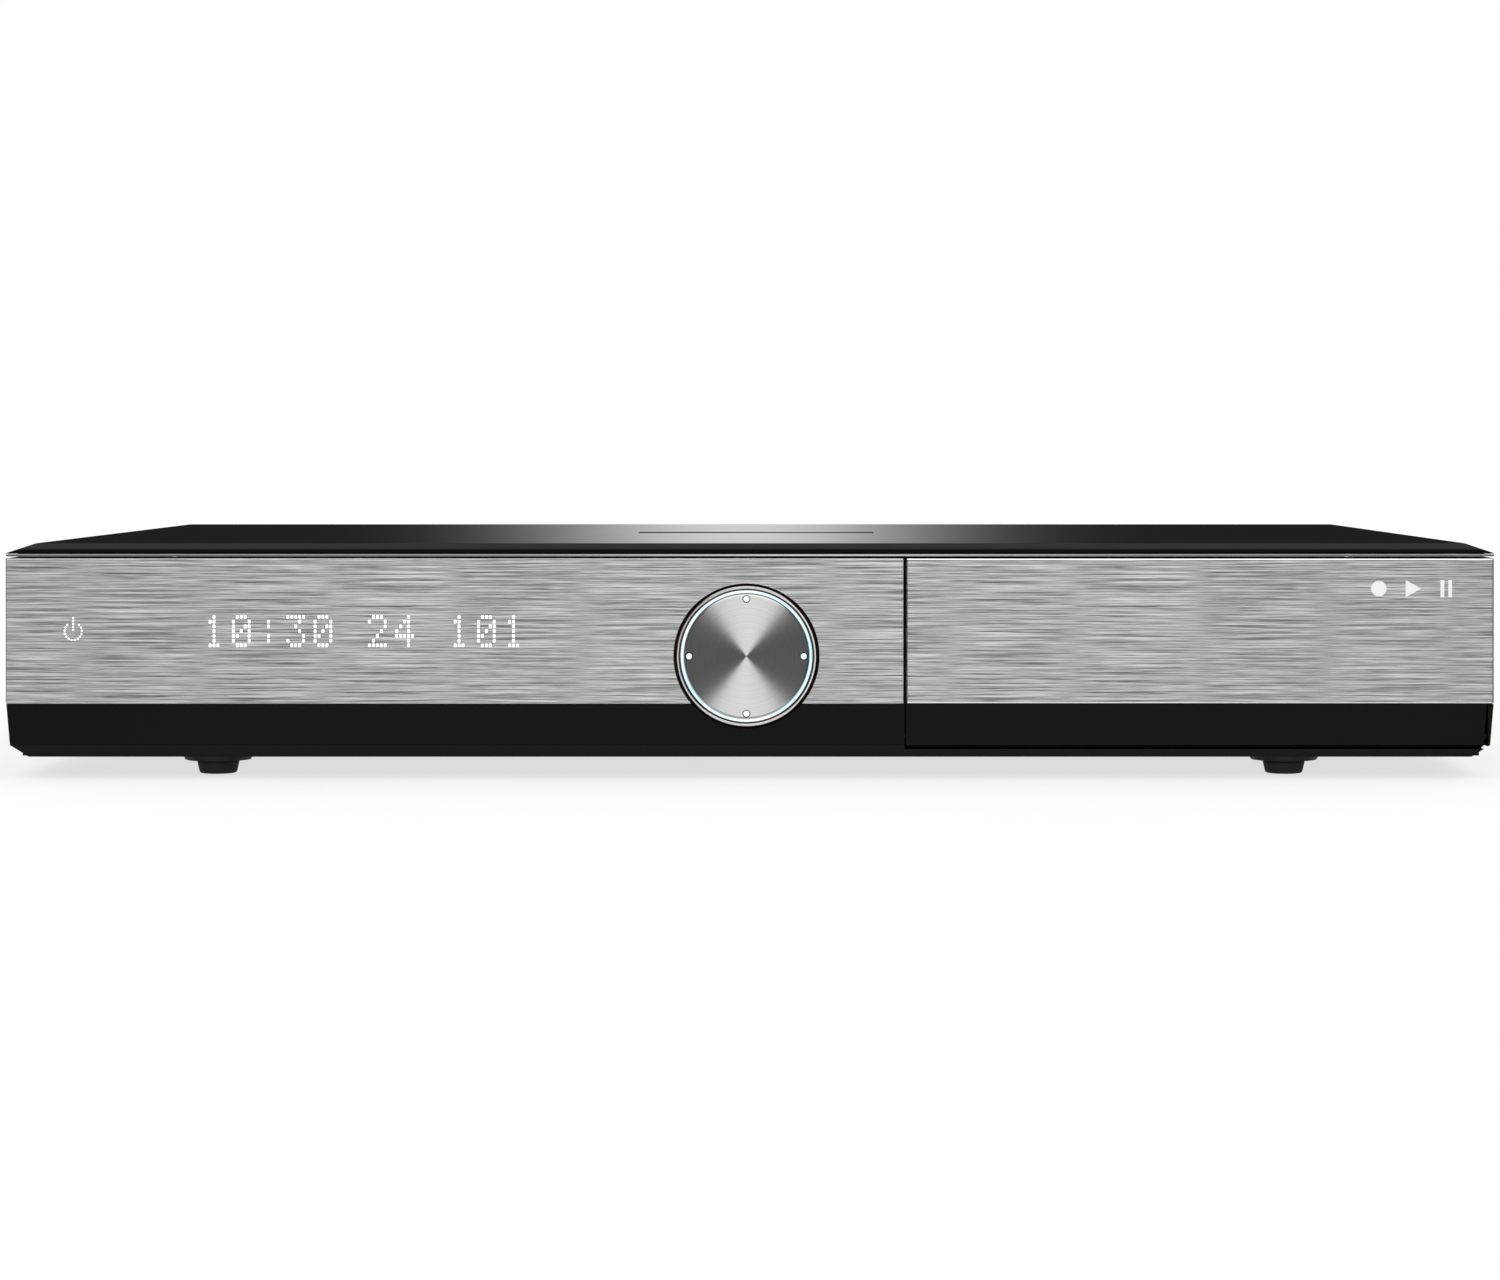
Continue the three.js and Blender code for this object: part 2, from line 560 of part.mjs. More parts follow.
function navDisc() {
  const { bevel } = DIAL;
  const body = rod('y', DIAL.disc, [discFront + bevel, discBack], dialCentre, { sides: DIAL_SIDES });
  const face = rod('y', DIAL.disc - bevel, [discFront, discFront + bevel], dialCentre,
    { tip: DIAL.disc, sides: DIAL_SIDES });
  const post = rod('y', DIAL.post, [discBack - 0.5, DIAL.pivot + 1], dialCentre);
  const pins = rod('z', GIMBAL.pin, spanOf(dialZ, GIMBAL.outer * 2 - 0.6), [dialX, DIAL.pivot],
    { sides: 16 });
  const stubs = Object.values(compass).map((side) => rod('y', SWITCH.pad,
    [discBack - 0.5, discBack + SWITCH.stub], dialPoint(side, switchAt), { sides: 16 }));
  const markers = Object.values(compass).map((side) => rod('y', DIAL.marker + 0.15,
    [discFront - 1, discBack + 1], dialPoint(side, markerAt), { sides: 20 }));
  return cut(join(body, face, post, pins, ...stubs), ...markers);
}

function navLens() {
  const web = ring('y', markerAt - 0.5, markerAt + 0.7,
    [discBack + GAP / 2, discBack + GAP / 2 + 0.5], dialCentre, 48);
  const studs = Object.values(compass).map((side) => rod('y', DIAL.marker,
    [discFront + 0.05, discBack + 0.4], dialPoint(side, markerAt), { sides: 20 }));
  return join(web, ...studs);
}

function navGimbal() {
  const range = spanOf(DIAL.pivot, GIMBAL.thick + 0.6);
  const body = ring('y', GIMBAL.inner, GIMBAL.outer, range, dialCentre, 32);
  const pins = [-1, 1].map((side) => rod('x', GIMBAL.pin,
    side < 0 ? [dialX - GIMBAL.reach, dialX - GIMBAL.inner - 1]
      : [dialX + GIMBAL.inner + 1, dialX + GIMBAL.reach], [DIAL.pivot, dialZ], { sides: 16 }));
  const bore = rod('z', GIMBAL.bore, spanOf(dialZ, GIMBAL.outer * 2 + 2), [dialX, DIAL.pivot],
    { sides: 16 });
  return cut(join(body, ...pins), bore);
}

function navCarrier() {
  const floor = [DIAL.pivot + 2.6, FRONT_BOARD.front - GAP];
  const ears = [-1, 1].map((side) => box(
    spanOf(dialX + side * (GIMBAL.outer + 1.6), 2), [DIAL.pivot - 2, floor[1]], spanOf(dialZ, 5)));
  const bore = rod('x', GIMBAL.bore, spanOf(dialX, GIMBAL.reach * 2 + 4), [DIAL.pivot, dialZ],
    { sides: 16 });
  return cut(join(rod('y', GIMBAL.outer + 2, floor, dialCentre, { sides: 32 }), ...ears), bore);
}

function navSwitch(side) {
  const [x, z] = dialPoint(side, switchAt + SWITCH.outwards);
  const top = discBack + SWITCH.stub + SWITCH.clearance;
  const bodyEnd = FRONT_BOARD.front - GAP;
  const body = box(spanOf(x, SWITCH.size), [bodyEnd - SWITCH.body, bodyEnd], spanOf(z, SWITCH.size));
  return body.add(rod('y', SWITCH.plunger, [top, bodyEnd - 1], dialPoint(side, switchAt)));
}

// ---------------------------------------------------------------- front electronics
function displaySpan() {
  const fieldLeft = -half;
  const fieldRight = dialX - dialHole;
  const x = spanOf((fieldLeft + fieldRight) / 2 + DISPLAY.shift, DISPLAY.width);
  return { x, z: spanOf(dialZ + DISPLAY.up, DISPLAY.height) };
}

function frontBoard() {
  return box([-half + FRONT_BOARD.end, fasciaRight - 4 * BEZEL_WALL],
    [FRONT_BOARD.front, FRONT_BOARD.front + BOARD], [FRONT_BOARD.low, plateTop - FRONT_BOARD.below]);
}

function displayModule() {
  const { x, z } = displaySpan();
  const back = FRONT_BOARD.front - GAP;
  const bulb = box(grown(x, 2), [back - DISPLAY.thick, back], grown(z, 2));
  return bulb.add(box(grown(x, -GAP), [faceFront + GAP, back - 1], grown(z, -GAP)));
}

function ribbonCable() {
  const start = FRONT_BOARD.front + BOARD + GAP;
  const end = MAIN.front + 6;
  const low = onBoard + 0.2;
  return strap([
    [start + 0.2, 30], [start + 0.2, 22], [start + 1.5, 17.5], [start + 5, low + 1],
    [start + 10, low], [MAIN.front - 4, low], [end, low],
  ], 0.3, spanOf(dialX, 16));
}

// ---------------------------------------------------------------- power supply
const psuBoard = () => box([psuLeft, psuRight], [PSU.front, boardRear], [BOARD_LOW, boardTop]);

function psuTransformer() {
  const { width, length, high, leg, bobbin } = TRANSFORMER;
  const x = psuLeft + TRANSFORMER.right;
  const y = PSU.front + TRANSFORMER.back;
  const core = box(spanOf(x, width), spanOf(y, length * 0.5), [onBoard, onBoard + high]);
  const winding = roundedBlock('z', spanOf(x, width - leg * 2 + bobbin), spanOf(y, length), 5,
    [onBoard + 1, onBoard + high - leg]);
  return core.add(winding);
}

function psuCapacitor() {
  const { radius, high, groove: deep } = CAPACITOR;
  const place = [psuLeft + CAPACITOR.right, PSU.front + CAPACITOR.back];
  const can = rod('z', radius, [onBoard, onBoard + high], place, { sides: 36 });
  const groove = ring('z', radius - deep, radius + 1, [onBoard + 3, onBoard + 4.5], place, 36);
  return cut(can, groove);
}

function psuHarness() {
  const y = PSU.front + HARNESS.back;
  return tube([
    [psuRight - 8, y, onBoard + 3], [psuRight - 4, y, onBoard + 9], [psuRight + 3, y, onBoard + 12],
    [mainLeft + 4, y, onBoard + 9], [mainLeft + 8, y, onBoard + 3],
  ], HARNESS.radius);
}

// ---------------------------------------------------------------- main board
const mainBoard = () => box([mainLeft, mainRight], [MAIN.front, boardRear], [BOARD_LOW, boardTop]);

function heatsink() {
  const { size, fins, base, high } = HEATSINK;
  const x = spanOf(mainLeft + HEATSINK.right, size);
  const y = spanOf(MAIN.front + HEATSINK.back, size);
  const gaps = [];
  for (let index = 0; index < fins - 1; index += 1) {
    const pitch = size / (fins - 0.5);
    const from = x[0] + pitch / 2 + index * pitch;
    gaps.push(box([from, from + pitch / 2], grown(y, 1), [onBoard + base, HEIGHT]));
  }
  return cut(box(x, y, [onBoard, onBoard + high]), ...gaps);
}

const portSpan = (port) => [portLeft[port], portLeft[port] + portWidths[port]];
const portMiddle = (port) => portLeft[port] + portWidths[port] / 2;

function barrels(centres, radius, end) {
  return centres.map((place) => rod('y', radius, [panelInner - 4, end], place, { sides: 24 }));
}

function tunerBarrels() {
  return [-1, 1].map((side) => [portMiddle('tuner') + side * TUNER.pitch / 2, onBoard + TUNER.up]);
}

function tunerCan() {
  const rear = panelInner - GAP;
  const end = DEPTH + TUNER.proud;
  const can = box(portSpan('tuner'), [rear - TUNER.length, rear], [onBoard, onBoard + TUNER.height]);
  const pins = tunerBarrels().map((place) => rod('y', 1, [end - 8, end + 1], place, { sides: 12 }));
  return cut(join(can, ...barrels(tunerBarrels(), TUNER.barrel, end)), ...pins);
}

function rcaBarrels() {
  const columns = [-1, 1].map((side) => portMiddle('rca') + side * RCA.pitch / 2);
  const rows = [RCA.height / 2 - RCA.pitch / 2, RCA.height / 2 + RCA.pitch / 2];
  return columns.flatMap((x) => rows.map((up) => [x, onBoard + up]));
}

function rcaJacks() {
  const rear = panelInner - GAP;
  const end = DEPTH + RCA.proud;
  const block = box(portSpan('rca'), [rear - RCA.length, rear], [onBoard, onBoard + RCA.height]);
  const bores = rcaBarrels().map((place) => rod('y', RCA.pin, [end - 9, end + 1], place, { sides: 16 }));
  return cut(join(block, ...barrels(rcaBarrels(), RCA.barrel, end)), ...bores);
}

function portShell(port, height, length, wall, depth) {
  const x = portSpan(port);
  const z = [onBoard, onBoard + height];
  return {
    x, z,
    body: cut(box(x, [portFace - length, portFace], z),
      box(grown(x, -wall), [portFace - depth, portFace + 1], grown(z, -wall))),
  };
}

function opticalSocket() {
  const z = [onBoard, onBoard + OPTICAL.height];
  const middle = onBoard + OPTICAL.height / 2;
  const mouth = box(spanOf(portMiddle('optical'), OPTICAL.mouth), [portFace - 8, portFace + 1],
    spanOf(middle, OPTICAL.mouth));
  return cut(box(portSpan('optical'), [portFace - OPTICAL.length, portFace], z), mouth);
}

function scartSocket() {
  const { x, z, body } = portShell('scart', SCART.height, SCART.length, SCART.wall, SCART.mouth);
  const blade = box(grown(x, -4), [portFace - SCART.length + 1, portFace - 1.5],
    spanOf((z[0] + z[1]) / 2, 3));
  return body.add(blade);
}

function hdmiSocket() {
  const { x, z, body } = portShell('hdmi', HDMI.height, HDMI.length, HDMI.wall, 10);
  const tongue = box(grown(x, -2.4), [portFace - HDMI.length + 0.5, portFace - 2],
    spanOf((z[0] + z[1]) / 2, 1.4));
  return body.add(tongue);
}

function lanSpans() {
  const middle = portMiddle('lan');
  const jackLow = onBoard + LAN.jackUp;
  const usbLow = jackLow + LAN.jackHeight + LAN.usbUp;
  return {
    jack: { x: spanOf(middle, LAN.jackWidth), z: [jackLow, jackLow + LAN.jackHeight] },
    usb: { x: spanOf(middle, USB.width - 0.8), z: [usbLow, usbLow + USB.height] },
  };
}

function lanSocket() {
  const { jack, usb } = lanSpans();
  const body = box(portSpan('lan'), [portFace - LAN.length, portFace], [onBoard, onBoard + LAN.height]);
  const front = [portFace - LAN.mouth, portFace + 1];
  const shell = cut(body, box(jack.x, front, jack.z), box(usb.x, front, usb.z));
  return shell.add(box(grown(usb.x, -0.8), [front[0] - 1, portFace - 1.2],
    [usb.z[1] - 2.5, usb.z[1] - 0.9]));
}

// ---------------------------------------------------------------- disk drive
function driveBracket() {
  const floor = DRIVE_PLACE.low - GAP;
  const outer = [driveLeft - GAP - SHEET, driveRight + GAP + SHEET];
  const y = [driveFront + 4, driveRear - 4];
  const tray = box(outer, y, [floor - SHEET, floor]);
  const walls = [[outer[0], outer[0] + SHEET], [outer[1] - SHEET, outer[1]]].map(
    (x) => box(x, y, [floor - SHEET, floor + DRIVE.height * 0.6]));
  const legs = [outer[0] + 8, outer[1] - 8].flatMap((x) => [y[0] + 12, y[1] - 12].map(
    (at) => rod('z', 3.5, [baseTop + GAP, floor - 0.2], [x, at], { sides: 16 })));
  const relief = roundedBlock('x', grown(y, -26), [floor + 4, floor + 12], 3,
    [outer[0] - 1, outer[1] + 1]);
  return cut(join(tray, ...walls, ...legs), relief,
    roundedBlock('z', grown(outer, -22), grown(y, -30), 6, [floor - 2, floor + 1]));
}

const spindle = () => [driveX, driveFront + PLATTER.fromFront];
const pivotPlace = () => [driveX + ARM.side, spindle()[1] + ARM.back];
const driveFloor = DRIVE_PLACE.low + DRIVE.floor;

function driveBase() {
  const lidSeat = driveTop - DRIVE.lid - GAP;
  const body = roundedBlock('z', [driveLeft, driveRight], [driveFront, driveRear], 3,
    [DRIVE_PLACE.low, lidSeat]);
  const well = rod('z', PLATTER.radius + PLATTER.room, [driveFloor, driveTop], spindle(), { sides: 48 });
  const bay = box([driveLeft + DRIVE.wall * 3, driveRight - DRIVE.wall * 3],
    [spindle()[1] + 20, driveRear - DRIVE.wall * 4], [driveFloor, driveTop]);
  const motor = rod('z', PLATTER.hub - 1, [driveFloor - 0.5, driveFloor + PLATTER.motor],
    spindle(), { sides: 32 });
  const post = rod('z', ARM.pivot - 2, [driveFloor - 0.5, driveFloor + ARM.post], pivotPlace());
  return join(cut(body, join(well, bay)), motor, post);
}

function driveLid() {
  const z = [driveTop - DRIVE.lid, driveTop];
  const lid = roundedBlock('z', grown([driveLeft, driveRight], -1),
    grown([driveFront, driveRear], -1), 4, z);
  const dish = ring('z', PLATTER.radius - 4, PLATTER.radius - 1.5,
    [z[1] - 0.4, z[1] + 1], spindle(), 48);
  return cut(lid, dish);
}

function drivePlatters() {
  const low = driveFloor + PLATTER.motor + GAP;
  const hub = rod('z', PLATTER.hub, [low, low + PLATTER.hubHigh], spindle(), { sides: 32 });
  const disks = PLATTER.at.map((up) => rod('z', PLATTER.radius,
    [low + up, low + up + PLATTER.thick], spindle(), { sides: 48 }));
  return join(hub, ...disks);
}

function driveActuator() {
  const [x, y] = pivotPlace();
  const low = driveFloor + ARM.post + GAP;
  const armLow = driveFloor + PLATTER.motor + GAP + PLATTER.hubHigh + ARM.over;
  const top = armLow + ARM.thick;
  const bearing = rod('z', ARM.pivot, [low, top], [x, y], { sides: 28 });
  const arm = prism('z', [
    [x - ARM.width, y], [x - ARM.tip / 2, y - ARM.length], [x + ARM.tip / 2, y - ARM.length],
    [x + ARM.width, y],
  ], [armLow, top]);
  const coil = prism('z', [
    [x - 5, y + 3], [x + 5, y + 3], [x + 9, y + 19], [x - 9, y + 19],
  ], [low + 4, low + 8]);
  return join(bearing, arm, coil);
}

function sataCable() {
  const low = onBoard + 0.8;
  const start = driveRear + GAP + 0.7;
  return strap([
    [start, DRIVE_PLACE.low + 12], [start + 1, DRIVE_PLACE.low + 6], [start + 4, low + 1.5],
    [start + 9, low], [boardRear - 2, low],
  ], SATA.thick, spanOf((mainRight + driveLeft) / 2, SATA.width));
}

// ---------------------------------------------------------------- fan
const fanX = half - FAN.side - FAN.size / 2;
const fanZ = FAN.low + FAN.size / 2;
const fanBore = FAN.size / 2 - FAN.wall;
const fanRange = [panelInner - GAP - FAN.thick, panelInner - GAP];

function fanFrame() {
  const shell = roundedBlock('y', spanOf(fanX, FAN.size), spanOf(fanZ, FAN.size), 3, fanRange);
  const open = cut(shell, rod('y', fanBore, grown(fanRange, 1), [fanX, fanZ], { sides: 40 }));
  const web = [fanRange[0], fanRange[0] + 1.6];
  const spokes = [
    box(spanOf(fanX, fanBore * 2 + 1), web, spanOf(fanZ, 2.2)),
    box(spanOf(fanX, 2.2), web, spanOf(fanZ, fanBore * 2 + 1)),
  ];
  return join(open, ...spokes, rod('y', FAN.hub, web, [fanX, fanZ], { sides: 32 }));
}

function fanRotor() {
  const range = [fanRange[0] + 2.2, fanRange[1] - 0.6];
  const hub = rod('y', FAN.hub, range, [fanX, fanZ], { sides: 32 });
  const blades = [];
  for (let index = 0; index < FAN.blades; index += 1) {
    const angle = (index / FAN.blades) * Math.PI * 2;
    const blade = new THREE.BoxGeometry(fanBore - FAN.hub, 1.2, range[1] - range[0] - 1);
    blade.rotateX(Math.PI / 2 + 0.75);
    blade.translate((fanBore + FAN.hub) / 2 - 0.9, 0, 0);
    blade.rotateY(angle).translate(fanX, (range[0] + range[1]) / 2, fanZ);
    blades.push(solidOf(blade));
  }
  const swept = rod('y', fanBore - 0.6, grown(range, -0.2), [fanX, fanZ], { sides: 40 });
  return join(hub, join(...blades).intersect(swept));
}

// ---------------------------------------------------------------- mains inlet and switch
const inletX = psuLeft + INLET.from;
const rockerX = psuLeft + ROCKER.from;
const mainsZ = onBoard + ROCKER.height / 2 + 1;

function inletLobes(radius, range) {
  return join(...[-1, 1].map((side) => rod('y', radius, range,
    [inletX + side * INLET.pitch / 2, mainsZ], { sides: 24 })),
  box(spanOf(inletX, INLET.pitch), range, spanOf(mainsZ, radius * 1.5)));
}

function acInlet() {
  const block = box(spanOf(inletX, INLET.width), [portFace - INLET.length, portFace],
    spanOf(mainsZ, INLET.height));
  const pins = [-1, 1].map((side) => rod('y', 1.2, [portFace - INLET.mouth - 1, portFace - 2],
    [inletX + side * INLET.pitch / 2, mainsZ], { sides: 12 }));
  return join(cut(block, inletLobes(INLET.lobe, [portFace - INLET.mouth, portFace + 1])), ...pins);
}

function switchBody() {
  const y = [portFace - ROCKER.length, portFace];
  const block = box(spanOf(rockerX, ROCKER.width), y, spanOf(mainsZ, ROCKER.height));
  const well = box(spanOf(rockerX, ROCKER.width - ROCKER.frame * 2), [y[0] + 4, y[1] + 1],
    spanOf(mainsZ, ROCKER.height - ROCKER.frame * 2));
  const bore = rod('x', 1.3, spanOf(rockerX, ROCKER.width + 2), [rockerY(), mainsZ], { sides: 16 });
  return cut(block, well, bore);
}

const rockerY = () => portFace - 4;

function turned(points, [u0, v0], degrees) {
  const angle = THREE.MathUtils.degToRad(degrees);
  return points.map(([u, v]) => [
    u0 + (u - u0) * Math.cos(angle) - (v - v0) * Math.sin(angle),
    v0 + (u - u0) * Math.sin(angle) + (v - v0) * Math.cos(angle),
  ]);
}

// The rocker rests at one end of its throw, as a switch does.
function switchRocker() {
  const wide = ROCKER.width - ROCKER.frame * 2 - GAP * 2;
  const reach = ROCKER.height / 2 - ROCKER.frame - GAP - 0.9;
  const face = portFace + 1.2;
  const dip = 1.4;
  const outline = [
    [rockerY() - 3, mainsZ - 3], [rockerY() - 3, mainsZ + 3], [rockerY(), mainsZ + reach],
    [face, mainsZ + reach], [face - dip, mainsZ], [face, mainsZ - reach],
    [rockerY(), mainsZ - reach],
  ];
  const paddle = prism('x', turned(outline, [rockerY(), mainsZ], ROCKER.tilt), spanOf(rockerX, wide));
  return paddle.add(rod('x', 1, spanOf(rockerX, ROCKER.width - 0.4), [rockerY(), mainsZ], { sides: 16 }));
}

function acLead() {
  const y = portFace - INLET.length - 1;
  return tube([
    [inletX, y, mainsZ], [inletX + 1, y - 6, mainsZ], [(inletX + rockerX) / 2, y - 10, mainsZ + 1],
    [rockerX - 1, y - 6, mainsZ], [rockerX, y - 0.6, mainsZ],
  ], 1.6);
}

// ---------------------------------------------------------------- rear panel
// What every sheet that the sockets pass through is cut with.
function portWindows(through) {
  const window = (x, z) => box(grown(x, GAP), through, grown(z, GAP));
  return [
    window(portSpan('optical'), [onBoard, onBoard + OPTICAL.height]),
    window(portSpan('scart'), [onBoard, onBoard + SCART.height]),
    window(portSpan('hdmi'), [onBoard, onBoard + HDMI.height]),
    window(portSpan('lan'), [onBoard, onBoard + LAN.height]),
    window(spanOf(inletX, INLET.width), spanOf(mainsZ, INLET.height)),
    window(spanOf(rockerX, ROCKER.width), spanOf(mainsZ, ROCKER.height)),
    ...tunerBarrels().map((place) => rod('y', TUNER.barrel + GAP, through, place)),
    ...rcaBarrels().map((place) => rod('y', RCA.barrel + GAP, through, place)),
  ];
}

function rearPanel() {
  const wide = baseHalf - SHEET - GAP;
  const panel = box([-wide, wide], [panelInner, panelOuter],
    [baseTop + GAP, HEIGHT - CHAMFER_RISE - SHEET - GAP]);
  const through = [panelInner - BEYOND, panelOuter + BEYOND];
  const screwHoles = screwPlaces().map(
    (x) => rod('y', SCREW.hole, through, [x, HEIGHT - SCREW.drop]));
  const slots = [];
  for (let row = -3; row <= 3; row += 1) {
    const reach = Math.sqrt(fanBore ** 2 - (row * 5) ** 2) - 1;
    slots.push(box(spanOf(fanX, reach * 2), through, spanOf(fanZ + row * 5, 2.6)));
  }
  return cut(panel, ...portWindows(through), ...screwHoles, ...slots);
}

// ---------------------------------------------------------------- assembly
const finishes = {
  gloss_black: { color: 0x0b0b0c, roughness: 0.08, metalness: 0 },
  satin_black: { color: 0x141415, roughness: 0.35, metalness: 0 },
  matt_black: { color: 0x1b1b1c, roughness: 0.6, metalness: 0 },
  brushed_aluminium: { color: 0xb4b4b1, roughness: 0.3, metalness: 1 },
  spun_aluminium: { color: 0xc9c9c8, roughness: 0.22, metalness: 1 },
  chrome: { color: 0xdcdcda, roughness: 0.08, metalness: 1 },
  zinc_steel: { color: 0x9a9d9e, roughness: 0.4, metalness: 1 },
  cast_aluminium: { color: 0x8f9294, roughness: 0.5, metalness: 1 },
  mirror_disk: { color: 0xd5d7d9, roughness: 0.04, metalness: 1 },
  white_light: { color: 0xf2fbff, roughness: 0.3, metalness: 0 },
  rubber: { color: 0x1a1a1a, roughness: 0.85, metalness: 0 },
  green_board: { color: 0x1d5a35, roughness: 0.4, metalness: 0 },
  brown_board: { color: 0x8a6b3a, roughness: 0.5, metalness: 0 },
  smoked_glass: { color: 0x0c1416, roughness: 0.05, metalness: 0 },
  nickel: { color: 0xb9b7b0, roughness: 0.25, metalness: 1 },
  black_anodised: { color: 0x202124, roughness: 0.45, metalness: 1 },
  copper_winding: { color: 0xb87a2e, roughness: 0.4, metalness: 0 },
  sleeve: { color: 0x16233a, roughness: 0.4, metalness: 0 },
  grey_cable: { color: 0xb9bcc0, roughness: 0.5, metalness: 0 },
  red_cable: { color: 0xa3211c, roughness: 0.45, metalness: 0 },
  white_cable: { color: 0xd8d6cf, roughness: 0.5, metalness: 0 },
};
const materials = Object.fromEntries(Object.entries(finishes).map(
  ([name, finish]) => [name, new THREE.MeshStandardMaterial({ name, ...finish })]));

function meshOf(name, solid, finish) {
  const { vertProperties, triVerts } = solid.getMesh();
  const geometry = new THREE.BufferGeometry();
  geometry.setAttribute('position', new THREE.BufferAttribute(vertProperties, 3));
  geometry.setIndex(new THREE.BufferAttribute(triVerts, 1));
  geometry.computeVertexNormals();
  const mesh = new THREE.Mesh(geometry, materials[finish]);
  mesh.name = name;
  return mesh;
}

function assembly(pieces) {
  const group = new THREE.Group();
  for (const [name, [solid, finish]] of Object.entries(pieces)) group.add(meshOf(name, solid, finish));
  return group;
}

const feet = Object.fromEntries(Object.entries(footPlaces()).map(
  ([corner, place]) => [`foot_${corner}`, [foot(place), 'rubber']]));
const screws = Object.fromEntries(screwPlaces().map(
  (x, index) => [`cover_screw_${index + 1}`, [coverScrew(x), 'nickel']]));
const switches = Object.fromEntries(Object.entries(compass).map(
  ([name, side]) => [`nav_switch_${name}`, [navSwitch(side), 'matt_black']]));

const recorder = new THREE.Group();
recorder.add(
  assembly({
    base_chassis: [baseChassis(), 'matt_black'],
    top_cover: [topCover(), 'gloss_black'],
    rear_panel: [rearPanel(), 'matt_black'],
    ...feet,
    ...screws,
  }),
  assembly({
    front_bezel: [frontBezel(), 'satin_black'],
    bezel_trim: [bezelTrim(), 'chrome'],
    fascia_plate: [fasciaPlate(), 'brushed_aluminium'],
    flap_door: [flapDoor(), 'satin_black'],
    flap_plate: [flapPlate(), 'brushed_aluminium'],
    flap_hinge_pin_left: [hingePin(hingeRanges.left), 'black_anodised'],
    flap_hinge_pin_right: [hingePin(hingeRanges.right), 'black_anodised'],
    flap_latch: [flapLatch(), 'matt_black'],
    flap_latch_plunger: [flapPlunger(), 'satin_black'],
    card_reader: [cardReader(), 'zinc_steel'],
    front_usb_socket: [usbSocket(), 'nickel'],
    pocket_board: [pocketBoard(), 'green_board'],
  }),
  assembly({
    nav_ring: [navRing(), 'chrome'],
    light_ring: [lightRing(), 'white_light'],
    nav_disc: [navDisc(), 'spun_aluminium'],
    nav_lens: [navLens(), 'white_light'],
    nav_gimbal: [navGimbal(), 'satin_black'],
    nav_carrier: [navCarrier(), 'matt_black'],
    ...switches,
    front_board: [frontBoard(), 'green_board'],
    display_module: [displayModule(), 'smoked_glass'],
    ribbon_cable: [ribbonCable(), 'grey_cable'],
  }),
  assembly({
    psu_board: [psuBoard(), 'brown_board'],
    psu_transformer: [psuTransformer(), 'copper_winding'],
    psu_capacitor: [psuCapacitor(), 'sleeve'],
    psu_harness: [psuHarness(), 'white_cable'],
    ac_inlet: [acInlet(), 'matt_black'],
    power_switch_body: [switchBody(), 'matt_black'],
    power_switch_rocker: [switchRocker(), 'satin_black'],
    ac_lead: [acLead(), 'white_cable'],
  }),
  assembly({
    main_board: [mainBoard(), 'green_board'],
    heatsink: [heatsink(), 'black_anodised'],
    tuner_can: [tunerCan(), 'nickel'],
    rca_jacks: [rcaJacks(), 'matt_black'],
    optical_socket: [opticalSocket(), 'matt_black'],
    scart_socket: [scartSocket(), 'matt_black'],
    hdmi_socket: [hdmiSocket(), 'nickel'],
    lan_usb_socket: [lanSocket(), 'nickel'],
  }),
  assembly({
    drive_bracket: [driveBracket(), 'zinc_steel'],
    drive_base: [driveBase(), 'cast_aluminium'],
    drive_lid: [driveLid(), 'zinc_steel'],
    drive_platters: [drivePlatters(), 'mirror_disk'],
    drive_actuator: [driveActuator(), 'cast_aluminium'],
    sata_cable: [sataCable(), 'red_cable'],
    fan_frame: [fanFrame(), 'matt_black'],
    fan_rotor: [fanRotor(), 'satin_black'],
  }),
);

const frontmost = -DIAL.proud;
const rearmost = DEPTH + Math.max(TUNER.proud, RCA.proud);
recorder.position.y = -(frontmost + rearmost) / 2;

export default recorder;
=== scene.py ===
"""Dresses a set-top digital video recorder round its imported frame.

Every size is in millimetres unless its name says otherwise, and mm() turns one into
the scene's metres. The front of the recorder faces -Y and its feet stand on z = 0.
"""

import sys
import json
import logging
import math
from dataclasses import dataclass, field
from enum import Enum
from typing import Any, Callable, Iterable, Optional, Sequence

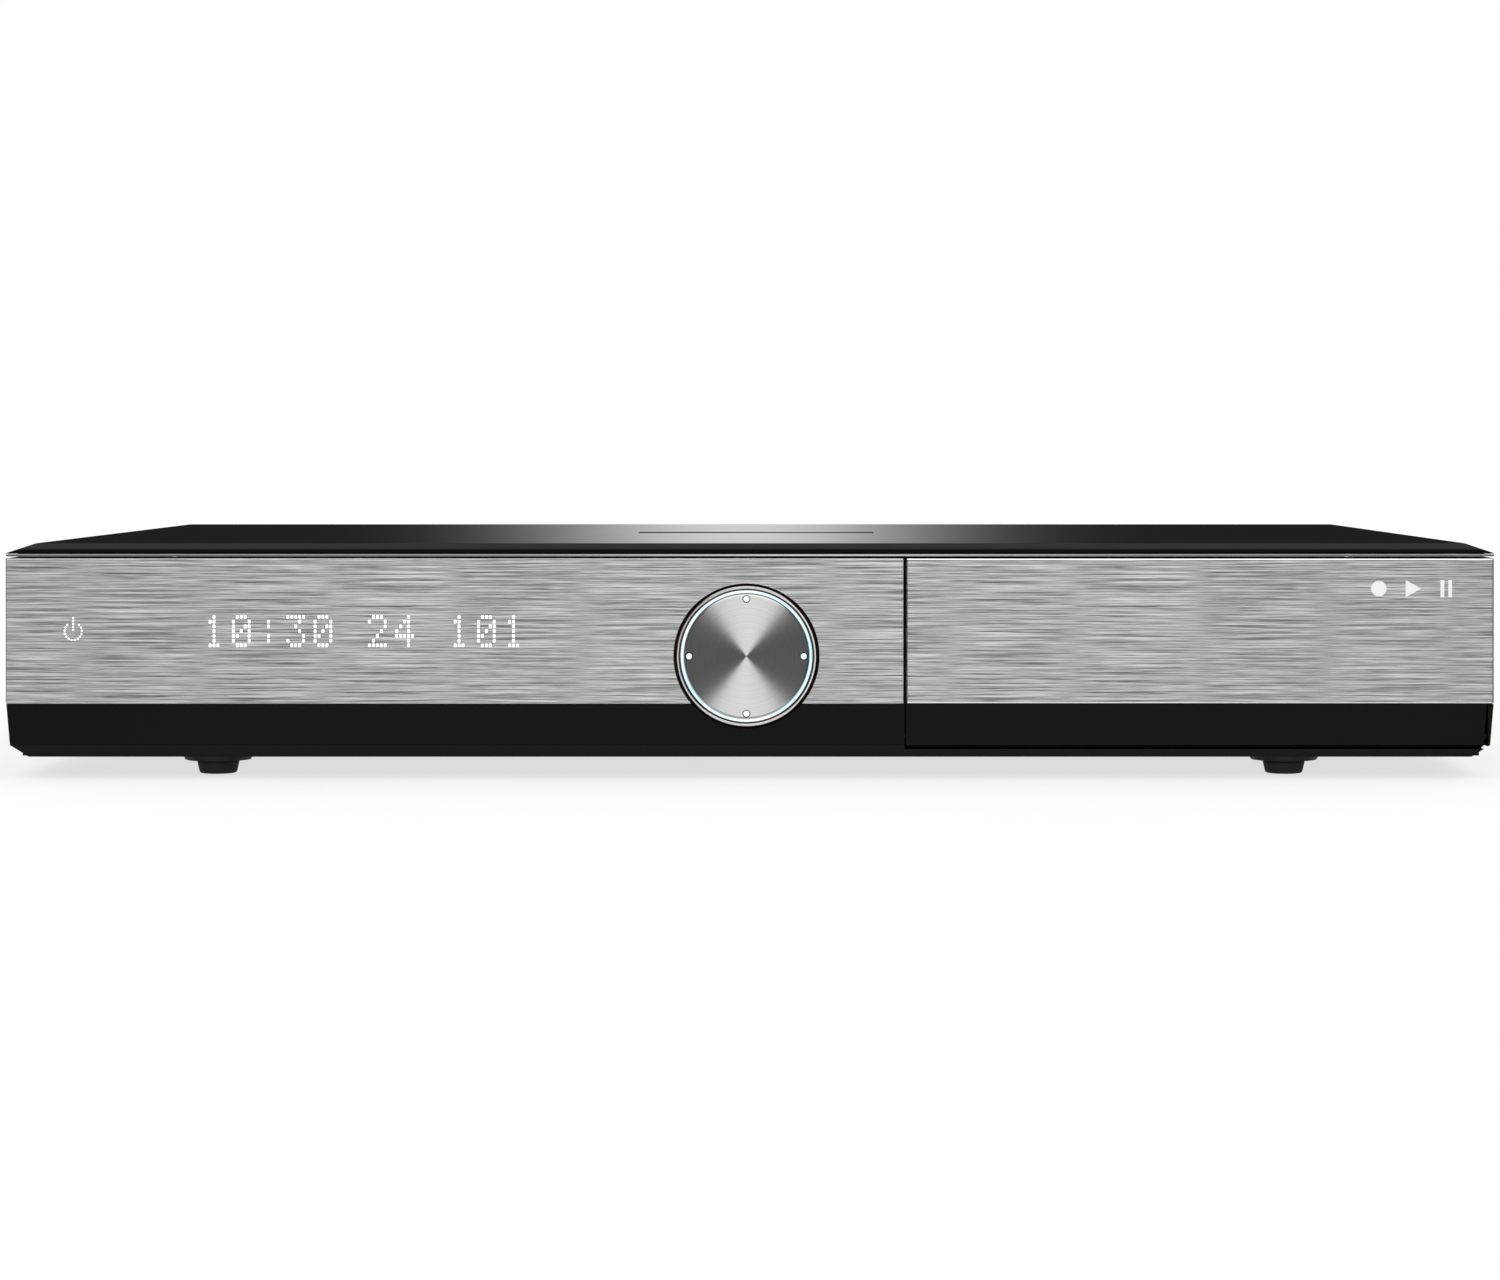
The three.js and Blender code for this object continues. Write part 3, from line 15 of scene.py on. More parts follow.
import bmesh
import bpy
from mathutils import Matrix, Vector


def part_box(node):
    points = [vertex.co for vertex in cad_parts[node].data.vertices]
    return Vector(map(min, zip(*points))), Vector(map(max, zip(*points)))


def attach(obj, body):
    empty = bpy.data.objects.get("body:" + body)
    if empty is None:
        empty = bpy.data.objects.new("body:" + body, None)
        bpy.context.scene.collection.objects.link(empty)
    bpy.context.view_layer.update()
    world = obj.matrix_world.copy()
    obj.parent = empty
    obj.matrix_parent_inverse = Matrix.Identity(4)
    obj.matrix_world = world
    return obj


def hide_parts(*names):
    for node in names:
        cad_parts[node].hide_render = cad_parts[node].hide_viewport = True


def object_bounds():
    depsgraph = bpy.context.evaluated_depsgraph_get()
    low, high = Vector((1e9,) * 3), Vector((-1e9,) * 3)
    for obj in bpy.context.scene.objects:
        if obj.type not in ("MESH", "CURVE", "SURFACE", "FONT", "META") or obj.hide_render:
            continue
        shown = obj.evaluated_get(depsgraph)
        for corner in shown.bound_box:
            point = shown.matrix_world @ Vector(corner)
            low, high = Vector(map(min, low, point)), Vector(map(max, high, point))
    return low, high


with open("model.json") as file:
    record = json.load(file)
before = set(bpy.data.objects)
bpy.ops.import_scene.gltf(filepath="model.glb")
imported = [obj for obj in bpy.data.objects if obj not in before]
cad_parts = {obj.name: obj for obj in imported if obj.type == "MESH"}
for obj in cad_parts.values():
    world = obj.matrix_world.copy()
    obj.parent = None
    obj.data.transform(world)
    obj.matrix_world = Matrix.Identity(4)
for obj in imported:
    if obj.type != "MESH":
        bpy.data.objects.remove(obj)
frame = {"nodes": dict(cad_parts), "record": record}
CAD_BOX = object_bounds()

log = logging.getLogger("recorder")
COAT_ROUGHNESS = 0.04
MERGE_DISTANCE = 1e-6               # metres between corners that count as one
FLAT_ANGLE = math.radians(0.4)      # faces that meet flatter than this become one
FOLD_ANGLE = math.radians(24)       # edges sharper than this are rounded or kept sharp
TURN_ANGLE = math.radians(30)       # the same for made pieces
EMBED = 0.05                        # how far a tile reaches into what it sits on


# ---------- small tools
def mm(value: float) -> float:
    """Turns millimetres into metres."""
    return value / 1000.0


def linear(hex_colour: str) -> tuple[float, float, float, float]:
    """Turns an sRGB hex colour into linear red, green, blue and alpha.

    Args:
        hex_colour: Six hex digits, such as "C0C4C8".

    Returns:
        The linear colour with an alpha of 1.
    """
    channels = []
    for start in (0, 2, 4):
        value = int(hex_colour[start:start + 2], 16) / 255.0
        channels.append(value / 12.92 if value <= 0.04045 else ((value + 0.055) / 1.055) ** 2.4)
    return (*channels, 1.0)


def add_node(tree: bpy.types.NodeTree, kind: str, settings: Optional[dict[str, Any]] = None,
             links: Optional[dict[Any, Any]] = None) -> bpy.types.Node:
    """Adds one shader node, sets it up and links its inputs.

    Args:
        tree: The node tree to add to.
        kind: The node's type, such as "ShaderNodeTexNoise".
        settings: Attributes of the node, or input sockets by name, and their values.
        links: Input sockets by name or number, and the output socket that feeds each.

    Returns:
        The new node.
    """
    node = tree.nodes.new(kind)
    for name, value in (settings or {}).items():
        if isinstance(name, str) and hasattr(node, name):
            setattr(node, name, value)
        else:
            node.inputs[name].default_value = value
    for name, source in (links or {}).items():
        tree.links.new(source, node.inputs[name])
    return node


# ---------- finishes
class Pattern(Enum):
    """What a surface was left with when it was made."""

    RIPPLE = "slow waves in a sprayed or polished coat"
    GRAIN = "the fine etched grain of a moulding tool"
    BRUSHED = "straight lines drawn across the metal"
    SPUN = "rings turned into the metal"
    SPANGLE = "crystals in a zinc coat"
    CAST = "the pebbled skin of a casting"
    TRACKS = "copper tracks under a solder mask"
    LAMP = "light that leaks unevenly through a milky guide"


@dataclass(frozen=True)
class Finish:
    """One real material and the way its surface was made.

    Attributes:
        name: The material's name, which says what it is.
        colour: Its sRGB hex colour.
        second: The hex colour that its pattern reaches towards.
        roughness: Mean roughness.
        metallic: 1 for metals, 0 for all else.
        ior: Refractive index, which metals leave alone.
        pattern: What the surface was left with.
        grain: Size of the pattern's marks across, in millimetres.
        length: Size of the marks along a brushed line, in millimetres.
        spread: How strongly the pattern changes the colour, from 0 to 1.
        rough_spread: How far the pattern moves the roughness.
        relief: Height of the pattern, in millimetres.
        anisotropy: How much the lines stretch a highlight.
        coat: Strength of a clear coat.
        glow: Strength of the light it gives.
        window: Half the band of the pattern that the colour spreads over.
    """

    name: str
    colour: str
    second: str
    roughness: float
    metallic: float = 0.0
    ior: float = 1.5
    pattern: Pattern = Pattern.GRAIN
    grain: float = 0.5
    length: float = 20.0
    spread: float = 0.2
    rough_spread: float = 0.05
    relief: float = 0.002
    anisotropy: float = 0.0
    coat: float = 0.0
    glow: float = 0.0
    window: float = 0.2

    def marks(self, tree: bpy.types.NodeTree) -> bpy.types.NodeSocket:
        """Builds the pattern and returns its strength, from 0 to 1.

        Args:
            tree: The material's node tree.

        Returns:
            The socket that carries the pattern.
        """
        place = add_node(tree, "ShaderNodeTexCoord").outputs["Object"]
        fine = 1000.0 / self.grain
        if self.pattern is Pattern.SPUN:
            flat = add_node(tree, "ShaderNodeVectorMath", {"operation": "MULTIPLY"}, {0: place})
            flat.inputs[1].default_value = (fine, 0.0, fine)
            radius = add_node(tree, "ShaderNodeVectorMath", {"operation": "LENGTH"},
                              {0: flat.outputs["Vector"]})
            rings = add_node(tree, "ShaderNodeTexNoise",
                             {"noise_dimensions": "1D", "Scale": 1.0, "Detail": 3.0},
                             {"W": radius.outputs["Value"]})
            return rings.outputs["Fac"]
        if self.pattern is Pattern.BRUSHED:
            along = 1000.0 / self.length
            lines = add_node(tree, "ShaderNodeMapping", {"Scale": (along, along, fine)},
                             {"Vector": place})
            streaks = add_node(tree, "ShaderNodeTexNoise",
                               {"Scale": 1.0, "Detail": 3.0, "Roughness": 0.85},
                               {"Vector": lines.outputs["Vector"]})
            return streaks.outputs["Fac"]
        if self.pattern is Pattern.SPANGLE:
            cells = add_node(tree, "ShaderNodeTexVoronoi", {"Scale": fine}, {"Vector": place})
            return add_node(tree, "ShaderNodeSeparateColor", {},
                            {"Color": cells.outputs["Color"]}).outputs["Red"]
        if self.pattern is Pattern.TRACKS:
            tracks = add_node(tree, "ShaderNodeTexBrick",
                              {"Scale": fine, "Mortar Size": 0.06, "Brick Width": 1.7,
                               "Row Height": 0.4, "Color1": (0, 0, 0, 1),
                               "Color2": (0.35, 0.35, 0.35, 1), "Mortar": (1, 1, 1, 1)},
                              {"Vector": place})
            return tracks.outputs["Color"]
        detail = 1.0 if self.pattern in (Pattern.RIPPLE, Pattern.LAMP) else 4.0
        noise = add_node(tree, "ShaderNodeTexNoise", {"Scale": fine, "Detail": detail},
                         {"Vector": place})
        return noise.outputs["Fac"]

    def material(self) -> bpy.types.Material:
        """Builds the material, unless it is there already.

        Returns:
            The material.
        """
        ready = bpy.data.materials.get(self.name)
        if ready:
            return ready
        material = bpy.data.materials.new(self.name)
        material.use_nodes = True
        tree = material.node_tree
        tree.nodes.clear()
        marks = self.marks(tree)
        share = add_node(tree, "ShaderNodeMapRange",
                         {"From Min": 0.5 - self.window, "From Max": 0.5 + self.window,
                          "To Max": self.spread}, {"Value": marks})
        colour = add_node(tree, "ShaderNodeMix",
                          {"data_type": "RGBA"}, {0: share.outputs["Result"]})
        colour.inputs[6].default_value = linear(self.colour)
        colour.inputs[7].default_value = linear(self.second)
        rough = add_node(tree, "ShaderNodeMapRange",
                         {"From Min": 0.25, "From Max": 0.75,
                          "To Min": max(self.roughness - self.rough_spread, 0.01),
                          "To Max": self.roughness + self.rough_spread}, {"Value": marks})
        shader = add_node(tree, "ShaderNodeBsdfPrincipled",
                          {"Metallic": self.metallic, "IOR": self.ior, "Coat Weight": self.coat,
                           "Coat Roughness": COAT_ROUGHNESS, "Anisotropic": self.anisotropy,
                           "Emission Strength": self.glow},
                          {"Base Color": colour.outputs[2], "Roughness": rough.outputs["Result"]})
        if self.glow:
            tree.links.new(colour.outputs[2], shader.inputs["Emission Color"])
        if self.relief:
            relief = add_node(tree, "ShaderNodeBump",
                              {"Strength": 1.0, "Distance": mm(self.relief)}, {"Height": marks})
            tree.links.new(relief.outputs["Normal"], shader.inputs["Normal"])
        if self.anisotropy:
            self.lay_lines(tree, shader)
        add_node(tree, "ShaderNodeOutputMaterial", {}, {"Surface": shader.outputs["BSDF"]})
        return material

    def lay_lines(self, tree: bpy.types.NodeTree, shader: bpy.types.Node) -> None:
        """Turns the stretched highlight across the metal's lines.

        Args:
            tree: The material's node tree.
            shader: The surface shader.
        """
        if self.pattern is Pattern.SPUN:
            tangent = add_node(tree, "ShaderNodeTangent", {"direction_type": "RADIAL", "axis": "Y"})
            shader.inputs["Anisotropic Rotation"].default_value = 0.25
        else:
            tangent = add_node(tree, "ShaderNodeTangent",
                               {"direction_type": "UV_MAP", "uv_map": "across"})
        tree.links.new(tangent.outputs["Tangent"], shader.inputs["Tangent"])


# Sprayed and polished steel: deep black with a wet, faintly wavy reflection.
BLACK_ENAMEL = Finish("black_gloss_enamel_sprayed", "060607", "0A0A0B", 0.055, ior=1.52,
                      pattern=Pattern.RIPPLE, grain=9.0, spread=0.3, rough_spread=0.012,
                      relief=0.0006, coat=0.3)
# ABS from a fine spark-eroded tool: a soft, even sheen that greys at the edges.
BLACK_ABS = Finish("black_abs_moulded", "090909", "101011", 0.42, ior=1.28, grain=0.35,
                   spread=0.35, rough_spread=0.05, relief=0.004)
# Powder coat on the base and the rear panel: black, satin and faintly pebbled.
BLACK_POWDER = Finish("black_powder_coat", "0B0B0C", "161617", 0.48, ior=1.4, pattern=Pattern.CAST,
                      grain=0.7, spread=0.4, rough_spread=0.06, relief=0.012)
# Diamond-cut edge round the plates: a bright flat chamfer.
CUT_EDGE = Finish("aluminium_diamond_cut", "E6E6E6", "F8F8F8", 0.16, metallic=1.0,
                  pattern=Pattern.CAST, grain=0.3, spread=0.6, rough_spread=0.04, relief=0.0)
# Glass-filled nylon: duller, with a coarser grain.
BLACK_NYLON = Finish("black_nylon_moulded", "151516", "202022", 0.55, ior=1.53, grain=0.5,
                     spread=0.4, rough_spread=0.07, relief=0.006)
# Aluminium sheet drawn under an abrasive belt: long bright and dark lines along the front.
# Real lines are about 0.05 mm across, and they are drawn wider so that they show.
BRUSHED_ALUMINIUM = Finish("aluminium_brushed_anodised", "747474", "ECECEC", 0.5, metallic=1.0,
                           pattern=Pattern.BRUSHED, grain=0.19, length=32.0, spread=1.0,
                           rough_spread=0.05, relief=0.0006, anisotropy=0.9, window=0.07)
# Turned aluminium: fine rings that throw bright fans up and down.
SPUN_ALUMINIUM = Finish("aluminium_spun", "D2D2D1", "EAEAE9", 0.33, metallic=1.0,
                        pattern=Pattern.SPUN, grain=0.22, spread=0.8, rough_spread=0.04,
                        relief=0.0, anisotropy=1.0)
# Plated plastic: a bright mirror line with a warm cast.
CHROME_PLATE = Finish("chrome_plated", "B6B0AD", "C9C4C1", 0.09, metallic=1.0,
                      pattern=Pattern.RIPPLE, grain=6.0, rough_spread=0.02, relief=0.0004)
# Plated brass and steel parts: bright but slightly misted.
NICKEL_PLATE = Finish("nickel_plated", "A8A69F", "C4C2BB", 0.24, metallic=1.0,
                      pattern=Pattern.CAST, grain=0.7, spread=0.5, rough_spread=0.06, relief=0.001)
# Hot-dip zinc: pale grey with faint crystals.
ZINC_STEEL = Finish("steel_zinc_coated", "8F9394", "B0B4B5", 0.38, metallic=1.0,
                    pattern=Pattern.SPANGLE, grain=5.0, spread=0.6, rough_spread=0.08,
                    relief=0.0005)
# Die-cast aluminium: grey, pebbled and dull.
CAST_ALUMINIUM = Finish("aluminium_die_cast", "85888A", "A4A7A9", 0.46, metallic=1.0,
                        pattern=Pattern.CAST, grain=1.1, spread=0.5, rough_spread=0.08, relief=0.02)
# Anodised extrusion: black metal with a satin edge.
BLACK_ANODISED = Finish("aluminium_black_anodised", "1B1C1F", "2A2B2E", 0.42, metallic=1.0,
                        pattern=Pattern.BRUSHED, grain=0.4, length=12.0, spread=0.5, relief=0.002)
# Sputtered disk: as near to a mirror as the piece has.
DISK_MIRROR = Finish("disk_sputtered_mirror", "C9CBCD", "D6D8DA", 0.05, metallic=1.0,
                     pattern=Pattern.SPUN, grain=0.6, spread=0.3, rough_spread=0.01, relief=0.0)
# Milky acrylic lit from behind: white with a cold edge.
LIGHT_GUIDE = Finish("acrylic_milky_lit", "FFFFFF", "BFEFFA", 0.3, ior=1.49, pattern=Pattern.LAMP,
                     grain=14.0, spread=0.9, relief=0.0, glow=0.3)
# Natural rubber feet: dull, with bloom.
RUBBER = Finish("rubber_moulded", "121212", "222221", 0.78, ior=1.52, pattern=Pattern.CAST,
                grain=0.8, spread=0.5, rough_spread=0.08, relief=0.02)
# Green mask over copper: tracks show as paler lines.
GREEN_BOARD = Finish("glass_fibre_board_green", "124227", "2D7445", 0.3, ior=1.5,
                     pattern=Pattern.TRACKS, grain=6.0, spread=0.8, relief=0.015)
# Bare paper-resin board: brown, with darker tracks seen through it.
BROWN_BOARD = Finish("paper_resin_board", "7B5E30", "987846", 0.5, ior=1.5,
                     pattern=Pattern.TRACKS, grain=9.0, spread=0.6, relief=0.01)
# Smoked cover glass of the display.
SMOKED_GLASS = Finish("glass_smoked", "0A1012", "11191C", 0.05, ior=1.52, pattern=Pattern.RIPPLE,
                      grain=12.0, rough_spread=0.01, relief=0.0)
# Varnished winding tape: amber, slightly creased.
WINDING_TAPE = Finish("polyester_winding_tape", "A86A1E", "C98A38", 0.3, ior=1.57,
                      pattern=Pattern.BRUSHED, grain=1.4, length=30.0, spread=0.6, relief=0.02)
# Heat-shrunk sleeve: blue-black and glossy.
SHRINK_SLEEVE = Finish("pvc_shrink_sleeve", "14213A", "1D2E4F", 0.28, ior=1.54,
                       pattern=Pattern.RIPPLE, grain=5.0, spread=0.5, relief=0.01)
# Soft PVC jackets: matt, with a little wave from extrusion.
GREY_RIBBON = Finish("pvc_ribbon_grey", "AEB1B5", "C6C9CC", 0.5, pattern=Pattern.BRUSHED,
                     grain=1.0, length=60.0, spread=0.7, relief=0.05)
RED_JACKET = Finish("pvc_jacket_red", "8F1814", "AE2A22", 0.45, pattern=Pattern.RIPPLE,
                    grain=4.0, spread=0.5, relief=0.01)
WHITE_JACKET = Finish("pvc_jacket_white", "CFCDC6", "E0DED8", 0.5, pattern=Pattern.RIPPLE,
                      grain=4.0, spread=0.5, relief=0.01)
# Dots of white light behind pinholes in the plate.
LIT_DOT = Finish("pinhole_white_lit", "FFFFFF", "F2FBFF", 0.4, pattern=Pattern.LAMP, grain=2.0,
                 spread=0.5, relief=0.0, glow=1.0)
# Screen-printed ink: flat white on the plate.
PRINT_INK = Finish("ink_screen_printed_white", "F1F1EF", "FFFFFF", 0.5, grain=0.15, spread=0.5,
                   relief=0.001)
# Coloured collars that tell the phono sockets apart.
RED_COLLAR = Finish("polypropylene_red", "A81414", "C22A22", 0.4, grain=0.4, relief=0.002)
WHITE_COLLAR = Finish("polypropylene_white", "DCDAD4", "EBE9E4", 0.4, grain=0.4, relief=0.002)
YELLOW_COLLAR = Finish("polypropylene_yellow", "D3A912", "E3BC2C", 0.4, grain=0.4, relief=0.002)


# ---------- pieces
def body_of_node(node: str) -> str:
    """Names the moving body that a CAD node belongs to.

    Args:
        node: The CAD node.

    Returns:
        The body's name in the record.
    """
    for body, nodes in frame["record"]["behaviour"]["bodies"].items():
        if node in nodes:
            return body
    raise ValueError(f"no body holds {node}")


def box_mm(node: str) -> tuple[Vector, Vector]:
    """Gives a CAD node's lowest and highest corners in millimetres."""
    low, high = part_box(node)
    return low * 1000.0, high * 1000.0


def place_piece(name: str, mesh: bpy.types.Mesh, finish: Finish, body: str,
                centre: Vector) -> bpy.types.Object:
    """Puts a mesh in the scene, finishes it and ties it to its body.

    Args:
        name: The piece's name.
        mesh: Its mesh, in metres round the centre.
        finish: What it is made of.
        body: The moving body that it rides on.
        centre: Where the mesh's own origin goes, in metres.

    Returns:
        The new object.
    """
    piece = bpy.data.objects.new(name, mesh)
    piece.location = centre
    bpy.context.scene.collection.objects.link(piece)
    mesh.materials.clear()
    mesh.materials.append(finish.material())
    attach(piece, body)
    log.info("%s: %s, %d faces", name, finish.name, len(mesh.polygons))
    return piece


def round_edges(piece: bpy.types.Object, edge: float, segments: int = 3,
                cut: Optional[Finish] = None) -> None:
    """Rounds a piece's sharp edges and keeps its flat faces flat.

    Args:
        piece: The piece.
        edge: Width of the rounding, in millimetres.
        segments: Faces across the rounding.
        cut: The finish of the rounding, where it has its own.
    """
    piece.data.shade_smooth()
    bevel = piece.modifiers.new("edge", "BEVEL")
    bevel.width = mm(edge)
    bevel.segments = segments
    bevel.limit_method = "ANGLE"
    bevel.angle_limit = FOLD_ANGLE
    bevel.harden_normals = True
    if cut:
        piece.data.materials.append(cut.material())
        bevel.material = 1
    normals = piece.modifiers.new("faces", "WEIGHTED_NORMAL")
    normals.keep_sharp = True


def dress(node: str, finish: Finish, edge: float = 0.0, segments: int = 3,
          cut: Optional[Finish] = None) -> bpy.types.Object:
    """Shows a CAD node with rounded edges and its finish.

    Args:
        node: The CAD node.
        finish: What it is made of.
        edge: Width of the rounding, in millimetres; none at 0.
        segments: Faces across the rounding.
        cut: The finish of the rounding, where it has its own.

    Returns:
        The dressed piece.
    """
    low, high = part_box(node)
    centre = (low + high) / 2
    mesh = frame["nodes"][node].data.copy()
    shape = bmesh.new()
    shape.from_mesh(mesh)
    bmesh.ops.remove_doubles(shape, verts=shape.verts, dist=MERGE_DISTANCE)
    bmesh.ops.dissolve_limit(shape, angle_limit=FLAT_ANGLE, verts=shape.verts,
                             edges=shape.edges)
    bmesh.ops.translate(shape, verts=shape.verts, vec=-centre)
    bmesh.ops.recalc_face_normals(shape, faces=shape.faces)
    shape.to_mesh(mesh)
    shape.free()
    if finish.anisotropy:
        across = mesh.uv_layers.get("across") or mesh.uv_layers.new(name="across")
        for loop in mesh.loops:
            point = mesh.vertices[loop.vertex_index].co
            across.data[loop.index].uv = (point.z, point.x)
    piece = place_piece(f"{node}_dressed", mesh, finish, body_of_node(node),
                        centre)
    if edge:
        round_edges(piece, edge, segments, cut)
    else:
        mesh.shade_smooth()
        mesh.set_sharp_from_angle(angle=FOLD_ANGLE)
    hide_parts(node)
    return piece


def mesh_from(name: str, fill: Callable[[bmesh.types.BMesh], None]) -> bpy.types.Mesh:
    """Makes a mesh by handing an empty one to a function that fills it.

    Args:
        name: The mesh's name.
        fill: Adds the geometry, in millimetres.

    Returns:
        The mesh, in metres, with its faces turned outwards.
    """
    shape = bmesh.new()
    fill(shape)
    bmesh.ops.scale(shape, verts=shape.verts, vec=(0.001,) * 3)
    bmesh.ops.recalc_face_normals(shape, faces=shape.faces)
    mesh = bpy.data.meshes.new(name)
    shape.to_mesh(mesh)
    shape.free()
    mesh.shade_smooth()
    mesh.set_sharp_from_angle(angle=TURN_ANGLE)
    return mesh


def add_tile(shape: bmesh.types.BMesh, outline: Sequence[tuple[float, float]], front: float,
             thick: float, dome: float = 0.0, crown: float = 0.12) -> None:
    """Adds a thin tile that faces the front, with its edge turned back.

    Args:
        shape: The mesh to add to.
        outline: Its corners as x and z.
        front: Its front face's y.
        thick: Its thickness.
        dome: How far the face's edge stands back.
        crown: Share of the way to the middle over which it does so.
    """
    middle = [sum(value) / len(outline) for value in zip(*outline)]
    rings = []
    for inwards, depth in ((0.0, thick), (0.0, dome), (crown, 0.0)):
        rings.append([shape.verts.new((x + (middle[0] - x) * inwards, front + depth,
                                       z + (middle[1] - z) * inwards)) for x, z in outline])
    count = len(outline)
    for outer, inner in zip(rings, rings[1:]):
        for index in range(count):
            after = (index + 1) % count
            shape.faces.new((outer[index], outer[after], inner[after], inner[index]))
    shape.faces.new(rings[-1])
    shape.faces.new(list(reversed(rings[0])))


def circle(x: float, z: float, radius: float, sides: int = 16,
           squash: float = 1.0) -> list[tuple[float, float]]:
    """Gives the corners of a circle or an ellipse as x and z."""
    return [(x + radius * math.cos(math.tau * step / sides),
             z + radius * squash * math.sin(math.tau * step / sides)) for step in range(sides)]


def add_turned(shape: bmesh.types.BMesh, profile: Iterable[tuple[float, float]], x: float,
               z: float, sides: int = 32) -> None:
    """Adds a closed ring turned about an axis along y.

    Args:
        shape: The mesh to add to.
        profile: Radius and y of each corner of the ring's section, in order.
        x: The axis' x.
        z: The axis' z.
        sides: Faces round the ring.
    """
    loops = []
    for step in range(sides):
        angle = math.tau * step / sides
        across, up = math.cos(angle), math.sin(angle)
        loops.append([shape.verts.new((x + radius * across, y, z + radius * up))
                      for radius, y in profile])
    corners = len(loops[0])
    for step in range(sides):
        here, there = loops[step], loops[(step + 1) % sides]
        for corner in range(corners):
            after = (corner + 1) % corners
            shape.faces.new((here[corner], here[after], there[after], there[corner]))


# ---------- sub-assemblies
@dataclass
class CaseShell:
    """Cover, base, rear panel, feet and screws.

    Attributes:
        fold: Radius of the cover's folds.
        sheet_edge: Rounding of cut sheet edges.
        rubber_edge: Rounding of the feet's rims.
    """

    fold: float = 0.45
    sheet_edge: float = 0.12
    rubber_edge: float = 0.5

    def build(self) -> None:
        """Dresses the outside of the case."""
        dress("top_cover", BLACK_ENAMEL, self.fold)
        dress("base_chassis", BLACK_POWDER, self.sheet_edge, 2)
        dress("rear_panel", BLACK_POWDER, self.sheet_edge, 2)
        for node in frame["nodes"]:
            if node.startswith("foot_"):
                dress(node, RUBBER, self.rubber_edge)
            if node.startswith("cover_screw_"):
                dress(node, NICKEL_PLATE, self.sheet_edge, 2)


@dataclass
class FrontPanel:
    """Bezel, trim strip and the brushed plate on the left.

    Attributes:
        moulded_edge: Rounding of the bezel's edges.
        trim_edge: Rounding of the plated strip.
        plate_edge: Width of the bright cut edge round the plates.
    """

    moulded_edge: float = 0.2
    trim_edge: float = 0.18
    plate_edge: float = 0.42

    def build(self) -> None:
        """Dresses the front."""
        dress("front_bezel", BLACK_ABS, self.moulded_edge)
        dress("bezel_trim", CHROME_PLATE, self.trim_edge)
        dress("fascia_plate", BRUSHED_ALUMINIUM, self.plate_edge, 1, CUT_EDGE)


@dataclass
class Flap:
    """The drop-down flap, its plate, pins, catch and what it hides.

    Attributes:
        moulded_edge: Rounding of the flap's edges.
        plate_edge: Width of the bright cut edge round its plate.
        small_edge: Rounding of pins, catch and sockets.
        socket_edge: Rounding of the thin socket shell.
        ink: Thickness of the printed symbols.
        mark_high: Their height.
        mark_pitch: From one symbol to the next.
        mark_place: The last symbol's middle, from the plate's right end and top.
        bar: The pause bars' place and half width, as shares of half the height.
        play: How far left the play symbol starts, as such a share.
        record: The record symbol's radius, as such a share.
    """

    moulded_edge: float = 0.2
    plate_edge: float = 0.42
    small_edge: float = 0.1
    socket_edge: float = 0.05
    ink: float = 0.02
    mark_high: float = 4.4
    mark_pitch: float = 8.6
    mark_place: tuple[float, float] = (12.2, 7.7)
    bar: tuple[float, float] = (0.45, 0.22)
    play: float = 0.8
    record: float = 0.9

    def fill_marks(self, shape: bmesh.types.BMesh) -> None:
        """Adds the printed record, play and pause symbols.

        Args:
            shape: The mesh to add to.
        """
        low, high = box_mm("flap_plate")
        x, z = high.x - self.mark_place[0], high.z - self.mark_place[1]
        reach = self.mark_high / 2
        front, thick = low.y - self.ink, 2 * self.ink
        for side in (-1, 1):
            bar = x + side * reach * self.bar[0]
            wide = reach * self.bar[1]
            add_tile(shape, [(bar - wide, z - reach), (bar + wide, z - reach),
                             (bar + wide, z + reach), (bar - wide, z + reach)], front, thick)
        x -= self.mark_pitch
        left = x - reach * self.play
        add_tile(shape, [(left, z - reach), (x + reach, z), (left, z + reach)], front, thick)
        x -= self.mark_pitch
        add_tile(shape, circle(x, z, reach * self.record, 28), front, thick)

    def build(self) -> None:
        """Dresses the flap and the pocket behind it."""
        place_piece("flap_marks", mesh_from("flap_marks", self.fill_marks), PRINT_INK, "flap",
                    Vector())
        dress("flap_door", BLACK_ABS, self.moulded_edge)
        dress("flap_plate", BRUSHED_ALUMINIUM, self.plate_edge, 1, CUT_EDGE)
        dress("flap_hinge_pin_left", BLACK_ANODISED, self.small_edge, 2)
        dress("flap_hinge_pin_right", BLACK_ANODISED, self.small_edge, 2)
        dress("flap_latch", BLACK_NYLON, self.small_edge, 2)
        dress("flap_latch_plunger", BLACK_ABS, self.small_edge, 2)
        dress("card_reader", NICKEL_PLATE, self.small_edge, 2)
        dress("front_usb_socket", NICKEL_PLATE, self.socket_edge, 2)
        dress("pocket_board", GREEN_BOARD)


